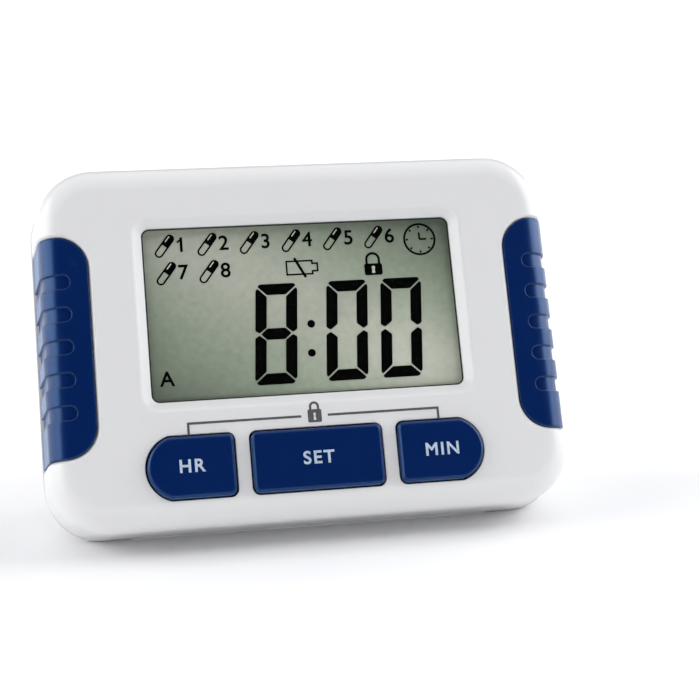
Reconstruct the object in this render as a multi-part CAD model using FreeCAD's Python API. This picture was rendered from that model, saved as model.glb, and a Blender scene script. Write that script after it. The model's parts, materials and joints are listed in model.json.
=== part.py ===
"""Pill box with a built-in timer, leaning back on its slanted base.

Everything is drawn in the face's own frame, in millimetres: x to the right and y up along the
face, with the middle of the face as origin, and depth measured back from the face. The last
step leans the whole assembly back so that the slanted base lies flat on the table.
"""
import FreeCAD, Part
import math
import os
from FreeCAD import Vector

# Case, measured at the face, at the joint between the shells, and at the back
FRONT_WIDTH = 81.8
FRONT_HEIGHT = 57.8
CASE_CORNER = 9.2
SIDE_FLARE = 1.35
TOP_FLARE = 0.3
PARTING_DEPTH = 13.0
CASE_DEPTH = 30.0
SIDE_TAPER = 1.5
TOP_TAPER = 1.0
FRONT_EDGE = 4.2
BACK_EDGE = 2.3
LEAN = 24.0
WALL = 1.8
FACE = 1.8
PARTING_STEP = 0.1
REST_INSET = 4.0
REST_RELIEF = 0.3
TONGUE_INSET = 1.0
TONGUE_THICKNESS = 1.1
TONGUE_HEIGHT = 1.2
TONGUE_CLEARANCE = 0.1

# Display window and the stack behind it
WINDOW_SIDE = 8.4
WINDOW_ABOVE = 10.35
PRINT_ROOM = 5.75
WINDOW_CORNER = 1.3
BEVEL_WIDTH = 1.5
BEVEL_DEPTH = 1.4
BEVEL_SOFTNESS = 0.9
GLASS_MARGIN = 1.6
GLASS_THICKNESS = 1.0
LCD_AIR = 0.1
LCD_THICKNESS = 2.2
FRAME_CLEARANCE = 0.15
FRAME_WALL = 1.0
FRAME_LEDGE = 3.2
STRIP_HEIGHT = 3.5
STRIP_WIDTH = 1.8
STRIP_CLEARANCE = 0.1
STRIP_END = 3.0

# Buttons, their stems and the switches below them
BUTTON_BELOW = 4.3
BUTTON_HEIGHT = 9.4
MODE_WIDTH = 20.4
BUTTON_SPACING = 2.8
ROW_OVERHANG = 1.4
SIDE_BUTTON_BULGE = 3.4
BUTTON_CORNER = 0.9
BUTTON_PROUD = 0.9
BUTTON_CHAMFER = 0.35
BUTTON_GAP = 0.35
BUTTON_TRAVEL = 0.5
FLANGE_WIDTH = 0.9
FLANGE_THICKNESS = 1.0
FLANGE_CLEARANCE = 0.1
STEM_RADIUS = 2.2
SWITCH_SIZE = 6.0
SWITCH_HEIGHT = 3.5
PLUNGER_RADIUS = 1.7
PLUNGER_FIT = 0.08
PLUNGER_REACH = 1.3
PLUNGER_PROUD = 0.8

# Side grips
GRIP_REACH = 7.5
GRIP_END = 11.35
GRIP_CORNER = 5.1
GRIP_THICKNESS = 1.6
GRIP_GAP = 0.2
GRIP_SINK = 0.1
GRIP_SEAT = 0.05
POCKET_WALL = 1.2
POCKET_LIP = 0.4
NOTCH_COUNT = 5
NOTCH_PITCH = 5.15
NOTCH_HEIGHT = 2.3
NOTCH_ROUNDING = 1.1
NOTCH_DEPTH = 0.4
NOTCH_INSET = 3.0

# Board and what is soldered to it
BOARD_THICKNESS = 1.2
BOARD_EDGE = 1.4
BOARD_CORNER = 2.0
BOARD_ABOVE = 1.6
BOARD_BELOW = 0.7
POST_RADIUS = 1.7
POST_CLEARANCE = 0.2
POST_DROP = 4.0
BOARD_SCREW_RADIUS = 0.8
BOARD_SCREW_LENGTH = 5.5
BOARD_SCREW_HEAD = 1.5
BOARD_SCREW_HEAD_HEIGHT = 1.1
SCREW_FIT = 0.06
BUZZER_RADIUS = 8.5
BUZZER_HEIGHT = 3.2
BUZZER_X = 14.0
BUZZER_HOLE = 1.2
BUZZER_BASE = 0.6
CAP_SIZE = 12.0
CAP_HEIGHT = 1.8
CAP_X = -13.0
CRYSTAL_RADIUS = 1.0
CRYSTAL_LENGTH = 6.0

# Case screws
SCREW_INSET = 7.65
SCREW_RADIUS = 1.3
SCREW_LENGTH = 11.0
SCREW_HEAD_RADIUS = 2.3
SCREW_HEAD_HEIGHT = 1.8
BOSS_RADIUS = 2.6
TUBE_RADIUS = 3.1
TUBE_FLOOR = 3.6
HEAD_CLEARANCE = 0.2

# Battery cell, its box and its door
CELL_RADIUS = 5.25
CELL_BODY = 43.7
CELL_NUB = 0.8
CELL_NUB_RADIUS = 1.9
CELL_CLEARANCE = 0.25
CELL_EDGE = 0.5
BATTERY_CLEARANCE = 0.46
BATTERY_CORNER = 3.0
BATTERY_WALL = 1.2
SPRING_LENGTH = 5.6
SPRING_WIRE = 0.3
SPRING_TURNS = 3
WIRE_SIDES = 6
SPRING_WIDE = 3.6
SPRING_NARROW = 2.0
GAP_SPOTS = 48
CONTACT_THICKNESS = 0.4
CONTACT_WIDTH = 8.0
CONTACT_LEG = 2.4
CONTACT_SEAT = 0.05
DOOR_GAP = 0.3
DOOR_THICKNESS = 1.5
DOOR_KNUCKLE = 1.1
DOOR_PIN_RADIUS = 0.7
DOOR_PIN_LENGTH = 1.8
DOOR_SOCKET_WALL = 0.9
HINGE_FIT = 0.05
DOOR_GRIP_DEPTH = 0.6
DOOR_GRIP_WIDTH = 1.2
DOOR_GRIP_COUNT = 3

# Pill tray and its lid
TRAY_GAP = 3.1
TRAY_HEADROOM = 11.4
TRAY_CLEARANCE = 1.6
TRAY_WALL = 1.0
TRAY_CORNER = 2.0
COMPARTMENTS = 4
LID_MARGIN = 0.4
LID_GAP = 0.3
LID_THICKNESS = 1.5
LID_CORNER = 3.0
LID_KNUCKLE = 1.5
LID_PIN_RADIUS = 0.75
LUG_WIDTH = 4.0
LUG_PIN = 3.0
LUG_WALL = 0.8
TONGUE_WIDTH = 10.0
TONGUE_REACH = 2.2
SCOOP_WIDTH = 16.0
SCOOP_DEPTH = 0.9
SCOOP_LENGTH = 3.0
SLOT_COUNT = 5
SLOT_PITCH = 3.4
SLOT_WIDTH = 1.4
SLOT_LENGTH = 7.0

# Sizes that follow from the ones above
PARTING_WIDTH = FRONT_WIDTH + 2 * SIDE_FLARE
PARTING_HEIGHT = FRONT_HEIGHT + 2 * TOP_FLARE
SLOPE = math.tan(math.radians(LEAN))
BACK_INNER = CASE_DEPTH - WALL
BASE_RISE = (BACK_INNER - PARTING_DEPTH) * SLOPE + WALL / math.cos(math.radians(LEAN))
BASE_INNER = BASE_RISE - PARTING_HEIGHT / 2 - PARTING_STEP
REST_HALF = PARTING_WIDTH / 2 - CASE_CORNER - REST_INSET
GRIP_INNER = FRONT_WIDTH / 2 - GRIP_REACH
GRIP_LENGTH = FRONT_HEIGHT - 2 * GRIP_END
BUTTON_Y = BUTTON_BELOW + BUTTON_HEIGHT / 2 - FRONT_HEIGHT / 2
WINDOW_WIDTH = 2 * (GRIP_INNER - WINDOW_SIDE)
WINDOW_HEIGHT = FRONT_HEIGHT - WINDOW_ABOVE - PRINT_ROOM - BUTTON_HEIGHT - BUTTON_BELOW
WINDOW_Y = (FRONT_HEIGHT - WINDOW_HEIGHT) / 2 - WINDOW_ABOVE
GLASS_BACK = FACE + GLASS_THICKNESS
LCD_FRONT = GLASS_BACK + LCD_AIR
LCD_BACK = LCD_FRONT + LCD_THICKNESS
LCD_WIDTH = WINDOW_WIDTH + 2 * GLASS_MARGIN
LCD_HEIGHT = WINDOW_HEIGHT + 2 * GLASS_MARGIN
BOARD_FRONT = LCD_BACK + STRIP_HEIGHT
BOARD_BACK = BOARD_FRONT + BOARD_THICKNESS
FRAME_WIDTH = LCD_WIDTH + 2 * (FRAME_CLEARANCE + FRAME_WALL)
FRAME_HEIGHT = LCD_HEIGHT + 2 * (FRAME_CLEARANCE + FRAME_WALL)
POST_X = FRAME_WIDTH / 2 + POST_CLEARANCE + POST_RADIUS
POST_UPPER_Y = WINDOW_Y + FRAME_HEIGHT / 2 - POST_DROP
POST_LOWER_Y = WINDOW_Y - FRAME_HEIGHT / 2 + POST_RADIUS
BOARD_HALF = POST_X + BOARD_EDGE
BOARD_TOP = WINDOW_Y + FRAME_HEIGHT / 2 + BOARD_ABOVE
BOARD_BOTTOM = BUTTON_Y - BUTTON_HEIGHT / 2 - BOARD_BELOW
FLANGE_FRONT = FACE + FLANGE_CLEARANCE
FLANGE_BACK = FLANGE_FRONT + FLANGE_THICKNESS
SWITCH_TOP = BOARD_FRONT - SWITCH_HEIGHT
PLUNGER_TOP = SWITCH_TOP - PLUNGER_PROUD
SIDE_BUTTON_INNER = MODE_WIDTH / 2 + BUTTON_SPACING
SIDE_BUTTON_WIDTH = WINDOW_WIDTH / 2 + ROW_OVERHANG - SIDE_BUTTON_INNER
SIDE_BUTTON_X = SIDE_BUTTON_INNER + SIDE_BUTTON_WIDTH / 2
SCREW_X = PARTING_WIDTH / 2 - SCREW_INSET
SEAT_DEPTH = PARTING_DEPTH + TUBE_FLOOR
CAVITY_WIDTH = 2 * (CELL_RADIUS + CELL_CLEARANCE)
CAVITY_LENGTH = CELL_BODY + CELL_NUB + SPRING_LENGTH + 2 * (CONTACT_THICKNESS + CONTACT_SEAT)
CAVITY_FLOOR = BACK_INNER - CAVITY_WIDTH - CELL_CLEARANCE
BATTERY_Y = BASE_INNER + BATTERY_CLEARANCE + BATTERY_WALL + CAVITY_WIDTH / 2
CELL_DEPTH = CAVITY_FLOOR + CELL_CLEARANCE + CELL_RADIUS
CELL_NUB_X = CAVITY_LENGTH / 2 - CONTACT_THICKNESS - 2 * CONTACT_SEAT
CELL_HEAD_X = CELL_NUB_X - CELL_NUB
CELL_TAIL_X = CELL_HEAD_X - CELL_BODY
DOOR_HALF = CAVITY_LENGTH / 2 + BATTERY_WALL - DOOR_GAP
DOOR_TOP = BATTERY_Y + CAVITY_WIDTH / 2
DOOR_AXIS_Y = BATTERY_Y - CAVITY_WIDTH / 2 + DOOR_KNUCKLE
DOOR_AXIS_DEPTH = CASE_DEPTH - DOOR_KNUCKLE
TRAY_HALF = SCREW_X - TUBE_RADIUS - DOOR_GAP
TRAY_TOP = PARTING_HEIGHT / 2 - TRAY_HEADROOM
TRAY_BOTTOM = BATTERY_Y + CAVITY_WIDTH / 2 + BATTERY_WALL + TRAY_GAP
TRAY_FLOOR = BOARD_BACK + BUZZER_HEIGHT + TRAY_CLEARANCE + TRAY_WALL
SCREW_Y = TRAY_BOTTOM + TUBE_RADIUS
LID_HALF = TRAY_HALF - TRAY_WALL + LID_MARGIN
LID_BOTTOM = TRAY_BOTTOM + TRAY_WALL - LID_MARGIN
LID_AXIS_Y = TRAY_TOP + LID_GAP + LID_KNUCKLE
LID_AXIS_DEPTH = CASE_DEPTH - LID_KNUCKLE
KNUCKLE_HALF = LID_HALF - LUG_WIDTH
CHAMFER_SHARE = 2 - math.sqrt(2)
BIG = 200.0
TOUCH = 1e-4
EDGE_SAMPLES = (0.2, 0.5, 0.8)


# Basic shapes, given by their place on the face and their depth
def box(x0, x1, y0, y1, front, back):
    return Part.makeBox(x1 - x0, y1 - y0, back - front, Vector(x0, y0, -back))


def rod(x, y, front, back, radius):
    return Part.makeCylinder(radius, back - front, Vector(x, y, -back), Vector(0, 0, 1))


def cross_rod(x0, x1, y, depth, radius):
    return Part.makeCylinder(radius, x1 - x0, Vector(x0, y, -depth), Vector(1, 0, 0))


def rounded_wire(x0, x1, y0, y1, radius, depth):
    cut = radius * (1 - math.sqrt(0.5))

    def at(x, y):
        return Vector(x, y, -depth)

    def corner(start, middle, end):
        return Part.Arc(start, middle, end).toShape()

    return Part.Wire([
        Part.makeLine(at(x0 + radius, y0), at(x1 - radius, y0)),
        corner(at(x1 - radius, y0), at(x1 - cut, y0 + cut), at(x1, y0 + radius)),
        Part.makeLine(at(x1, y0 + radius), at(x1, y1 - radius)),
        corner(at(x1, y1 - radius), at(x1 - cut, y1 - cut), at(x1 - radius, y1)),
        Part.makeLine(at(x1 - radius, y1), at(x0 + radius, y1)),
        corner(at(x0 + radius, y1), at(x0 + cut, y1 - cut), at(x0, y1 - radius)),
        Part.makeLine(at(x0, y1 - radius), at(x0, y0 + radius)),
        corner(at(x0, y0 + radius), at(x0 + cut, y0 + cut), at(x0 + radius, y0))])


def prism(wire, length):
    return Part.Face(wire).extrude(Vector(0, 0, -length))


def rounded_block(x0, x1, y0, y1, radius, front, back):
    return prism(rounded_wire(x0, x1, y0, y1, radius, front), back - front)


def fuse(shapes):
    return shapes[0].multiFuse(shapes[1:]).removeSplitter()


def edges_at_depth(shape, depth):
    return [e for e in shape.Edges if all(abs(v.Z + depth) < TOUCH for v in e.Vertexes)]


def between(start, end, share):
    return start + (end - start) * share


# Outer form of each shell, drawn in by an inset to give walls of even thickness
def tapered_block(front, front_half, front_low, front_high, back, back_half, back_low, back_high):
    block = Part.makeWedge(-back_half, -back, -back_high, -front_high, -front_half,
                           back_half, -front, -back_low, -front_low, front_half)
    block.rotate(Vector(), Vector(1, 0, 0), 90)
    return block


def rounded_sides(block, corner):
    ends = [v.Z for v in block.Vertexes]
    sides = [e for e in block.Edges if e.BoundBox.ZLength > (max(ends) - min(ends)) / 2]
    return block.makeFillet(corner, sides)


def front_form(inset, hollow=False):
    """The front shell's form. A hollow gets a chamfer round the face, as deep as the rounding."""
    share = inset / PARTING_DEPTH
    half = FRONT_WIDTH / 2 + SIDE_FLARE * share - inset
    tall = FRONT_HEIGHT / 2 + TOP_FLARE * share - inset
    back_half = PARTING_WIDTH / 2 - inset
    back_tall = PARTING_HEIGHT / 2 - inset
    block = tapered_block(inset, half, -tall, tall, PARTING_DEPTH, back_half, -back_tall, back_tall)
    form = rounded_sides(block, CASE_CORNER - inset)
    rim = edges_at_depth(form, inset)
    edge = FRONT_EDGE - inset
    if hollow:
        return form.makeChamfer(edge * CHAMFER_SHARE, rim)
    return form.makeFillet(edge, rim)


def rear_form(inset):
    back = CASE_DEPTH - inset
    run = back - PARTING_DEPTH
    share = run / (CASE_DEPTH - PARTING_DEPTH)
    half = PARTING_WIDTH / 2 + PARTING_STEP - inset
    top = PARTING_HEIGHT / 2 + PARTING_STEP - inset
    bottom = inset / math.cos(math.radians(LEAN)) - PARTING_HEIGHT / 2 - PARTING_STEP
    block = tapered_block(PARTING_DEPTH, half, bottom, top, back, half - SIDE_TAPER * share,
                          bottom + run * SLOPE, top - TOP_TAPER * share)
    form = rounded_sides(block, CASE_CORNER - inset)
    return form.makeChamfer(BACK_EDGE - inset * CHAMFER_SHARE, edges_at_depth(form, back))


def rest_slab(half):
    run = (CASE_DEPTH - PARTING_DEPTH) * SLOPE
    low = -PARTING_HEIGHT / 2 - PARTING_STEP
    high = low + REST_RELIEF / math.cos(math.radians(LEAN))
    return tapered_block(PARTING_DEPTH, half, low - WALL, high,
                         CASE_DEPTH, half, low - WALL + run, high + run)


# The rounded ends of the base are cut back, so the case stands on a straight flat face
def rest_relief():
    return rest_slab(PARTING_WIDTH).cut(rest_slab(REST_HALF))


# Side grips and the pockets they sit in
def grip_outline(side, grow):
    inner = GRIP_INNER - grow
    half = GRIP_LENGTH / 2 + grow
    ends = sorted((side * inner, side * BIG))
    return rounded_wire(ends[0], ends[1], -half, half, GRIP_CORNER + grow, -BIG)


def grip_prism(side, grow):
    return prism(grip_outline(side, grow), BIG + PARTING_DEPTH)


def notch_prism(side, index):
    middle = (index - (NOTCH_COUNT - 1) / 2) * NOTCH_PITCH
    half = NOTCH_HEIGHT / 2
    ends = sorted((side * (GRIP_INNER + NOTCH_INSET), side * BIG))
    wire = rounded_wire(ends[0], ends[1], middle - half, middle + half, NOTCH_ROUNDING, -BIG)
    return prism(wire, BIG + PARTING_DEPTH)


def make_grip(side):
    skin = front_form(GRIP_SINK).cut(front_form(GRIP_THICKNESS - GRIP_SEAT))
    grip = skin.common(grip_prism(side, -GRIP_GAP))
    floor = front_form(GRIP_SINK + NOTCH_DEPTH)
    for index in range(NOTCH_COUNT):
        grip = grip.cut(notch_prism(side, index).cut(floor))
    return grip


# Outlines of the buttons, grown for their openings and flanges
def mode_outline(grow):
    half = MODE_WIDTH / 2 + grow
    tall = BUTTON_HEIGHT / 2 + grow
    return rounded_wire(-half, half, BUTTON_Y - tall, BUTTON_Y + tall, BUTTON_CORNER + grow, 0)


def side_outline(side, grow):
    inner = side * (SIDE_BUTTON_INNER - grow)
    shoulder = side * (SIDE_BUTTON_INNER + SIDE_BUTTON_WIDTH - SIDE_BUTTON_BULGE)
    outer = side * (SIDE_BUTTON_INNER + SIDE_BUTTON_WIDTH + grow)
    low = BUTTON_Y - BUTTON_HEIGHT / 2 - grow
    high = BUTTON_Y + BUTTON_HEIGHT / 2 + grow
    corner = side * (BUTTON_CORNER + grow)
    cut = corner * (1 - math.sqrt(0.5))
    rise = abs(corner)
    turn = abs(cut)

    def at(x, y):
        return Vector(x, y, 0)

    return Part.Wire([
        Part.makeLine(at(inner + corner, low), at(shoulder, low)),
        Part.Arc(at(shoulder, low), at(outer, BUTTON_Y), at(shoulder, high)).toShape(),
        Part.makeLine(at(shoulder, high), at(inner + corner, high)),
        Part.Arc(at(inner + corner, high), at(inner + cut, high - turn), at(inner, high - rise)).toShape(),
        Part.makeLine(at(inner, high - rise), at(inner, low + rise)),
        Part.Arc(at(inner, low + rise), at(inner + cut, low + turn), at(inner + corner, low)).toShape()])


BUTTONS = {
    "hour": (lambda grow: side_outline(-1, grow), -SIDE_BUTTON_X),
    "mode": (mode_outline, 0.0),
    "minute": (lambda grow: side_outline(1, grow), SIDE_BUTTON_X),
}


def button_block(outline, grow, front, back):
    block = prism(outline(grow), back - front)
    block.translate(Vector(0, 0, -front))
    return block


def button_bevel(outline):
    rim = outline(0)
    rim.translate(Vector(0, 0, BUTTON_PROUD - BUTTON_CHAMFER))
    top = outline(-BUTTON_CHAMFER)
    top.translate(Vector(0, 0, BUTTON_PROUD))
    return Part.makeLoft([rim, top], True, True)


def make_button(outline, x):
    cap = button_block(outline, 0, BUTTON_CHAMFER - BUTTON_PROUD, FLANGE_BACK)
    flange = button_block(outline, FLANGE_WIDTH, FLANGE_FRONT, FLANGE_BACK)
    return fuse([cap, button_bevel(outline), flange, rod(x, BUTTON_Y, FLANGE_BACK, PLUNGER_TOP, STEM_RADIUS)])


def make_plunger(x):
    return rod(x, BUTTON_Y, PLUNGER_TOP, SWITCH_TOP + PLUNGER_REACH, PLUNGER_RADIUS)


def make_switch_bases():
    half = SWITCH_SIZE / 2
    well = SWITCH_TOP + PLUNGER_REACH + BUTTON_TRAVEL + FLANGE_CLEARANCE
    bases = []
    for outline, x in BUTTONS.values():
        base = box(x - half, x + half, BUTTON_Y - half, BUTTON_Y + half, SWITCH_TOP, BOARD_FRONT)
        bases.append(base.cut(rod(x, BUTTON_Y, SWITCH_TOP, well, PLUNGER_RADIUS + PLUNGER_FIT)))
    return Part.makeCompound(bases)


# Places that repeat
def screw_places():
    return [(side * SCREW_X, SCREW_Y) for side in (-1, 1)]


def post_places():
    return [(-POST_X, POST_UPPER_Y), (POST_X, POST_LOWER_Y)]


# Front shell
def window_cut():
    half = WINDOW_WIDTH / 2
    tall = WINDOW_HEIGHT / 2

    def wire(grow, depth):
        return rounded_wire(-half - grow, half + grow, WINDOW_Y - tall - grow, WINDOW_Y + tall + grow,
                            WINDOW_CORNER + grow, depth)

    slope = Part.makeLoft([wire(BEVEL_WIDTH, 0), wire(0, BEVEL_DEPTH)], True, True)
    return slope.fuse(prism(wire(0, BEVEL_DEPTH), FACE - BEVEL_DEPTH)).removeSplitter()


def soften_window(shell):
    half = WINDOW_WIDTH / 2 + BEVEL_WIDTH
    tall = WINDOW_HEIGHT / 2 + BEVEL_WIDTH
    low = WINDOW_Y - tall
    rim = [e for e in edges_at_depth(shell, 0)
           if abs(e.CenterOfMass.x) <= half and low <= e.CenterOfMass.y <= low + 2 * tall]
    return shell.makeFillet(BEVEL_SOFTNESS, rim)


def soften_pockets(shell, skin, pockets):
    joint = edges_at_depth(shell, PARTING_DEPTH)
    rim = []
    for edge in shell.Edges:
        if any(edge.isSame(other) for other in joint):
            continue
        start, end = edge.ParameterRange
        spots = [Part.Vertex(edge.valueAt(between(start, end, share))) for share in EDGE_SAMPLES]
        on_skin = all(skin.distToShape(spot)[0] < TOUCH for spot in spots)
        if on_skin and any(all(wall.distToShape(spot)[0] < TOUCH for spot in spots) for wall in pockets):
            rim.append(edge)
    return shell.makeChamfer(POCKET_LIP, rim)


def pocket_lining(side):
    inside = front_form(GRIP_THICKNESS).cut(front_form(GRIP_THICKNESS + POCKET_WALL, True))
    return inside.common(grip_prism(side, POCKET_WALL))


def make_front_housing():
    skin = front_form(0)
    shell = skin.cut(front_form(WALL, True))
    groove = front_form(TONGUE_INSET - TONGUE_CLEARANCE, True)
    slab = box(-BIG, BIG, -BIG, BIG, PARTING_DEPTH - TONGUE_HEIGHT - TONGUE_CLEARANCE, PARTING_DEPTH)
    shell = shell.cut(groove.common(slab))
    shell = shell.cut(window_cut())
    for outline, x in BUTTONS.values():
        shell = shell.cut(button_block(outline, BUTTON_GAP, 0, FACE))
        shell = shell.cut(button_block(outline, FLANGE_WIDTH + BUTTON_GAP, FACE, FLANGE_BACK))
    shell = soften_window(shell)
    posts = [rod(x, y, FACE, BOARD_FRONT, POST_RADIUS) for x, y in post_places()]
    bosses = [rod(x, y, FACE, PARTING_DEPTH, BOSS_RADIUS) for x, y in screw_places()]
    shell = fuse([shell, pocket_lining(-1), pocket_lining(1)] + posts + bosses)
    for x, y in post_places():
        tip = BOARD_BACK - BOARD_SCREW_LENGTH - SCREW_FIT
        shell = shell.cut(rod(x, y, tip, BOARD_FRONT, BOARD_SCREW_RADIUS + SCREW_FIT))
    for x, y in screw_places():
        tip = SEAT_DEPTH - SCREW_LENGTH - SCREW_FIT
        shell = shell.cut(rod(x, y, tip, PARTING_DEPTH, SCREW_RADIUS + SCREW_FIT))
    pockets = [grip_prism(side, 0) for side in (-1, 1)]
    floor = front_form(GRIP_THICKNESS)
    for pocket in pockets:
        shell = shell.cut(pocket.cut(floor))
    return soften_pockets(shell, Part.Shell(skin.Faces), [Part.Shell(p.Faces) for p in pockets])


# Display
def make_display_window():
    half = LCD_WIDTH / 2
    tall = LCD_HEIGHT / 2
    return box(-half, half, WINDOW_Y - tall, WINDOW_Y + tall, FACE, GLASS_BACK)


def make_lcd_panel():
    half = LCD_WIDTH / 2
    tall = LCD_HEIGHT / 2
    return box(-half, half, WINDOW_Y - tall, WINDOW_Y + tall, LCD_FRONT, LCD_BACK)


def strip_box(side, grow):
    half = LCD_WIDTH / 2 - STRIP_END + grow
    middle = WINDOW_Y + side * (LCD_HEIGHT / 2 - FRAME_LEDGE / 2)
    tall = STRIP_WIDTH / 2 + grow
    return box(-half, half, middle - tall, middle + tall, LCD_BACK, BOARD_FRONT)


def make_contact_strips():
    return Part.makeCompound([strip_box(side, 0) for side in (-1, 1)])


def make_display_frame():
    half = FRAME_WIDTH / 2
    tall = FRAME_HEIGHT / 2
    block = box(-half, half, WINDOW_Y - tall, WINDOW_Y + tall, FACE, BOARD_FRONT)
    half = LCD_WIDTH / 2 + FRAME_CLEARANCE
    tall = LCD_HEIGHT / 2 + FRAME_CLEARANCE
    block = block.cut(box(-half, half, WINDOW_Y - tall, WINDOW_Y + tall, FACE, LCD_BACK))
    half = LCD_WIDTH / 2 - FRAME_LEDGE
    tall = LCD_HEIGHT / 2 - FRAME_LEDGE
    block = block.cut(box(-half, half, WINDOW_Y - tall, WINDOW_Y + tall, LCD_BACK, BOARD_FRONT))
    for side in (-1, 1):
        block = block.cut(strip_box(side, STRIP_CLEARANCE))
    return block


# Board and its parts
def make_circuit_board():
    board = rounded_block(-BOARD_HALF, BOARD_HALF, BOARD_BOTTOM, BOARD_TOP, BOARD_CORNER,
                          BOARD_FRONT, BOARD_BACK)
    for x, y in post_places():
        board = board.cut(rod(x, y, BOARD_FRONT, BOARD_BACK, BOARD_SCREW_RADIUS + SCREW_FIT))
    return board


def make_buzzer():
    top = BOARD_BACK + BUZZER_HEIGHT
    case = rod(BUZZER_X, WINDOW_Y, BOARD_BACK, top, BUZZER_RADIUS)
    return case.cut(rod(BUZZER_X, WINDOW_Y, BOARD_BACK + BUZZER_BASE, top, BUZZER_HOLE))


def make_controller_cap():
    half = CAP_SIZE / 2
    return box(CAP_X - half, CAP_X + half, WINDOW_Y - half, WINDOW_Y + half,
               BOARD_BACK, BOARD_BACK + CAP_HEIGHT)


def make_crystal():
    y = WINDOW_Y + CAP_SIZE / 2 + CRYSTAL_RADIUS
    start = CAP_X + CAP_SIZE / 2
    return cross_rod(start, start + CRYSTAL_LENGTH, y, BOARD_BACK + CRYSTAL_RADIUS, CRYSTAL_RADIUS)


def make_board_screws():
    screws = []
    for x, y in post_places():
        shank = rod(x, y, BOARD_BACK - BOARD_SCREW_LENGTH, BOARD_BACK, BOARD_SCREW_RADIUS)
        head = rod(x, y, BOARD_BACK, BOARD_BACK + BOARD_SCREW_HEAD_HEIGHT, BOARD_SCREW_HEAD)
        screws.append(fuse([shank, head]))
    return Part.makeCompound(screws)


def make_case_screws():
    screws = []
    for x, y in screw_places():
        shank = rod(x, y, SEAT_DEPTH - SCREW_LENGTH, SEAT_DEPTH, SCREW_RADIUS)
        head = rod(x, y, SEAT_DEPTH, SEAT_DEPTH + SCREW_HEAD_HEIGHT, SCREW_HEAD_RADIUS)
        screws.append(fuse([shank, head]))
    return Part.makeCompound(screws)


# Rear shell
def tongue():
    outer = front_form(TONGUE_INSET, True)
    slab = box(-BIG, BIG, -BIG, BIG, PARTING_DEPTH - TONGUE_HEIGHT, PARTING_DEPTH)
    ring = outer.cut(front_form(TONGUE_INSET + TONGUE_THICKNESS, True)).common(slab)
    for side in (-1, 1):
        ring = ring.cut(grip_prism(side, POCKET_WALL + TONGUE_CLEARANCE))
    return ring


def lid_opening():
    half = LID_HALF + LID_GAP
    top = LID_AXIS_Y + LID_KNUCKLE + LID_GAP
    return rounded_block(-half, half, LID_BOTTOM - LID_GAP, top, LID_CORNER + LID_GAP,
                         BACK_INNER, CASE_DEPTH)


def door_opening():
    half = DOOR_HALF + DOOR_GAP
    low = DOOR_AXIS_Y - DOOR_KNUCKLE - DOOR_GAP
    return box(-half, half, low, DOOR_TOP + DOOR_GAP, BACK_INNER, CASE_DEPTH)


def lid_lug(side):
    near = KNUCKLE_HALF + LID_GAP
    far = LID_HALF + LID_GAP + LUG_WALL
    top = LID_AXIS_Y + LID_KNUCKLE + LID_GAP + LUG_WALL
    ends = sorted((side * near, side * far))
    round_end = cross_rod(ends[0], ends[1], LID_AXIS_Y, LID_AXIS_DEPTH, LID_KNUCKLE)
    block = box(ends[0], ends[1], LID_AXIS_Y, top, LID_AXIS_DEPTH - LID_KNUCKLE, CASE_DEPTH)
    hole = sorted((side * near, side * (near + LUG_PIN)))
    bore = cross_rod(hole[0], hole[1], LID_AXIS_Y, LID_AXIS_DEPTH, LID_PIN_RADIUS + HINGE_FIT)
    return fuse([round_end, block]).cut(bore)


def door_socket(side):
    near = DOOR_HALF + DOOR_GAP
    reach = DOOR_PIN_RADIUS + HINGE_FIT + DOOR_SOCKET_WALL
    ends = sorted((side * near, side * (near + DOOR_PIN_LENGTH + DOOR_SOCKET_WALL)))
    return box(ends[0], ends[1], DOOR_AXIS_Y - reach, DOOR_AXIS_Y + reach,
               DOOR_AXIS_DEPTH - reach, BACK_INNER)


def door_socket_hole(side):
    near = DOOR_HALF + DOOR_GAP
    hole = sorted((side * near, side * (near + DOOR_PIN_LENGTH)))
    return cross_rod(hole[0], hole[1], DOOR_AXIS_Y, DOOR_AXIS_DEPTH, DOOR_PIN_RADIUS + HINGE_FIT)


def thumb_scoop():
    radius = (SCOOP_LENGTH ** 2 + SCOOP_DEPTH ** 2) / (2 * SCOOP_DEPTH)
    y = LID_BOTTOM - LID_GAP
    half = SCOOP_WIDTH / 2
    return cross_rod(-half, half, y, CASE_DEPTH - SCOOP_DEPTH + radius, radius)


def sound_slots():
    cuts = []
    middle = (PARTING_DEPTH + CASE_DEPTH) / 2
    for index in range(SLOT_COUNT):
        x = (index - (SLOT_COUNT - 1) / 2) * SLOT_PITCH
        half = SLOT_WIDTH / 2
        top = PARTING_HEIGHT / 2
        cuts.append(box(x - half, x + half, top - 2 * WALL - TOP_TAPER, top + WALL,
                        middle - SLOT_LENGTH / 2, middle + SLOT_LENGTH / 2))
    return Part.makeCompound(cuts)


def make_rear_housing():
    outer = rear_form(0)
    shell = outer.cut(rear_form(WALL)).cut(rest_relief())
    tubes = [rod(x, y, PARTING_DEPTH, BACK_INNER, TUBE_RADIUS) for x, y in screw_places()]
    sockets = [door_socket(side) for side in (-1, 1)]
    shell = fuse([shell, tongue()] + tubes + sockets)
    shell = shell.cut(lid_opening()).cut(door_opening()).cut(thumb_scoop()).cut(sound_slots())
    shell = fuse([shell] + [lid_lug(side).common(outer) for side in (-1, 1)])
    for side in (-1, 1):
        shell = shell.cut(door_socket_hole(side))
    for x, y in screw_places():
        shell = shell.cut(rod(x, y, PARTING_DEPTH, SEAT_DEPTH, SCREW_RADIUS + HEAD_CLEARANCE))
        shell = shell.cut(rod(x, y, SEAT_DEPTH, CASE_DEPTH + WALL, SCREW_HEAD_RADIUS + HEAD_CLEARANCE))
    return shell


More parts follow.
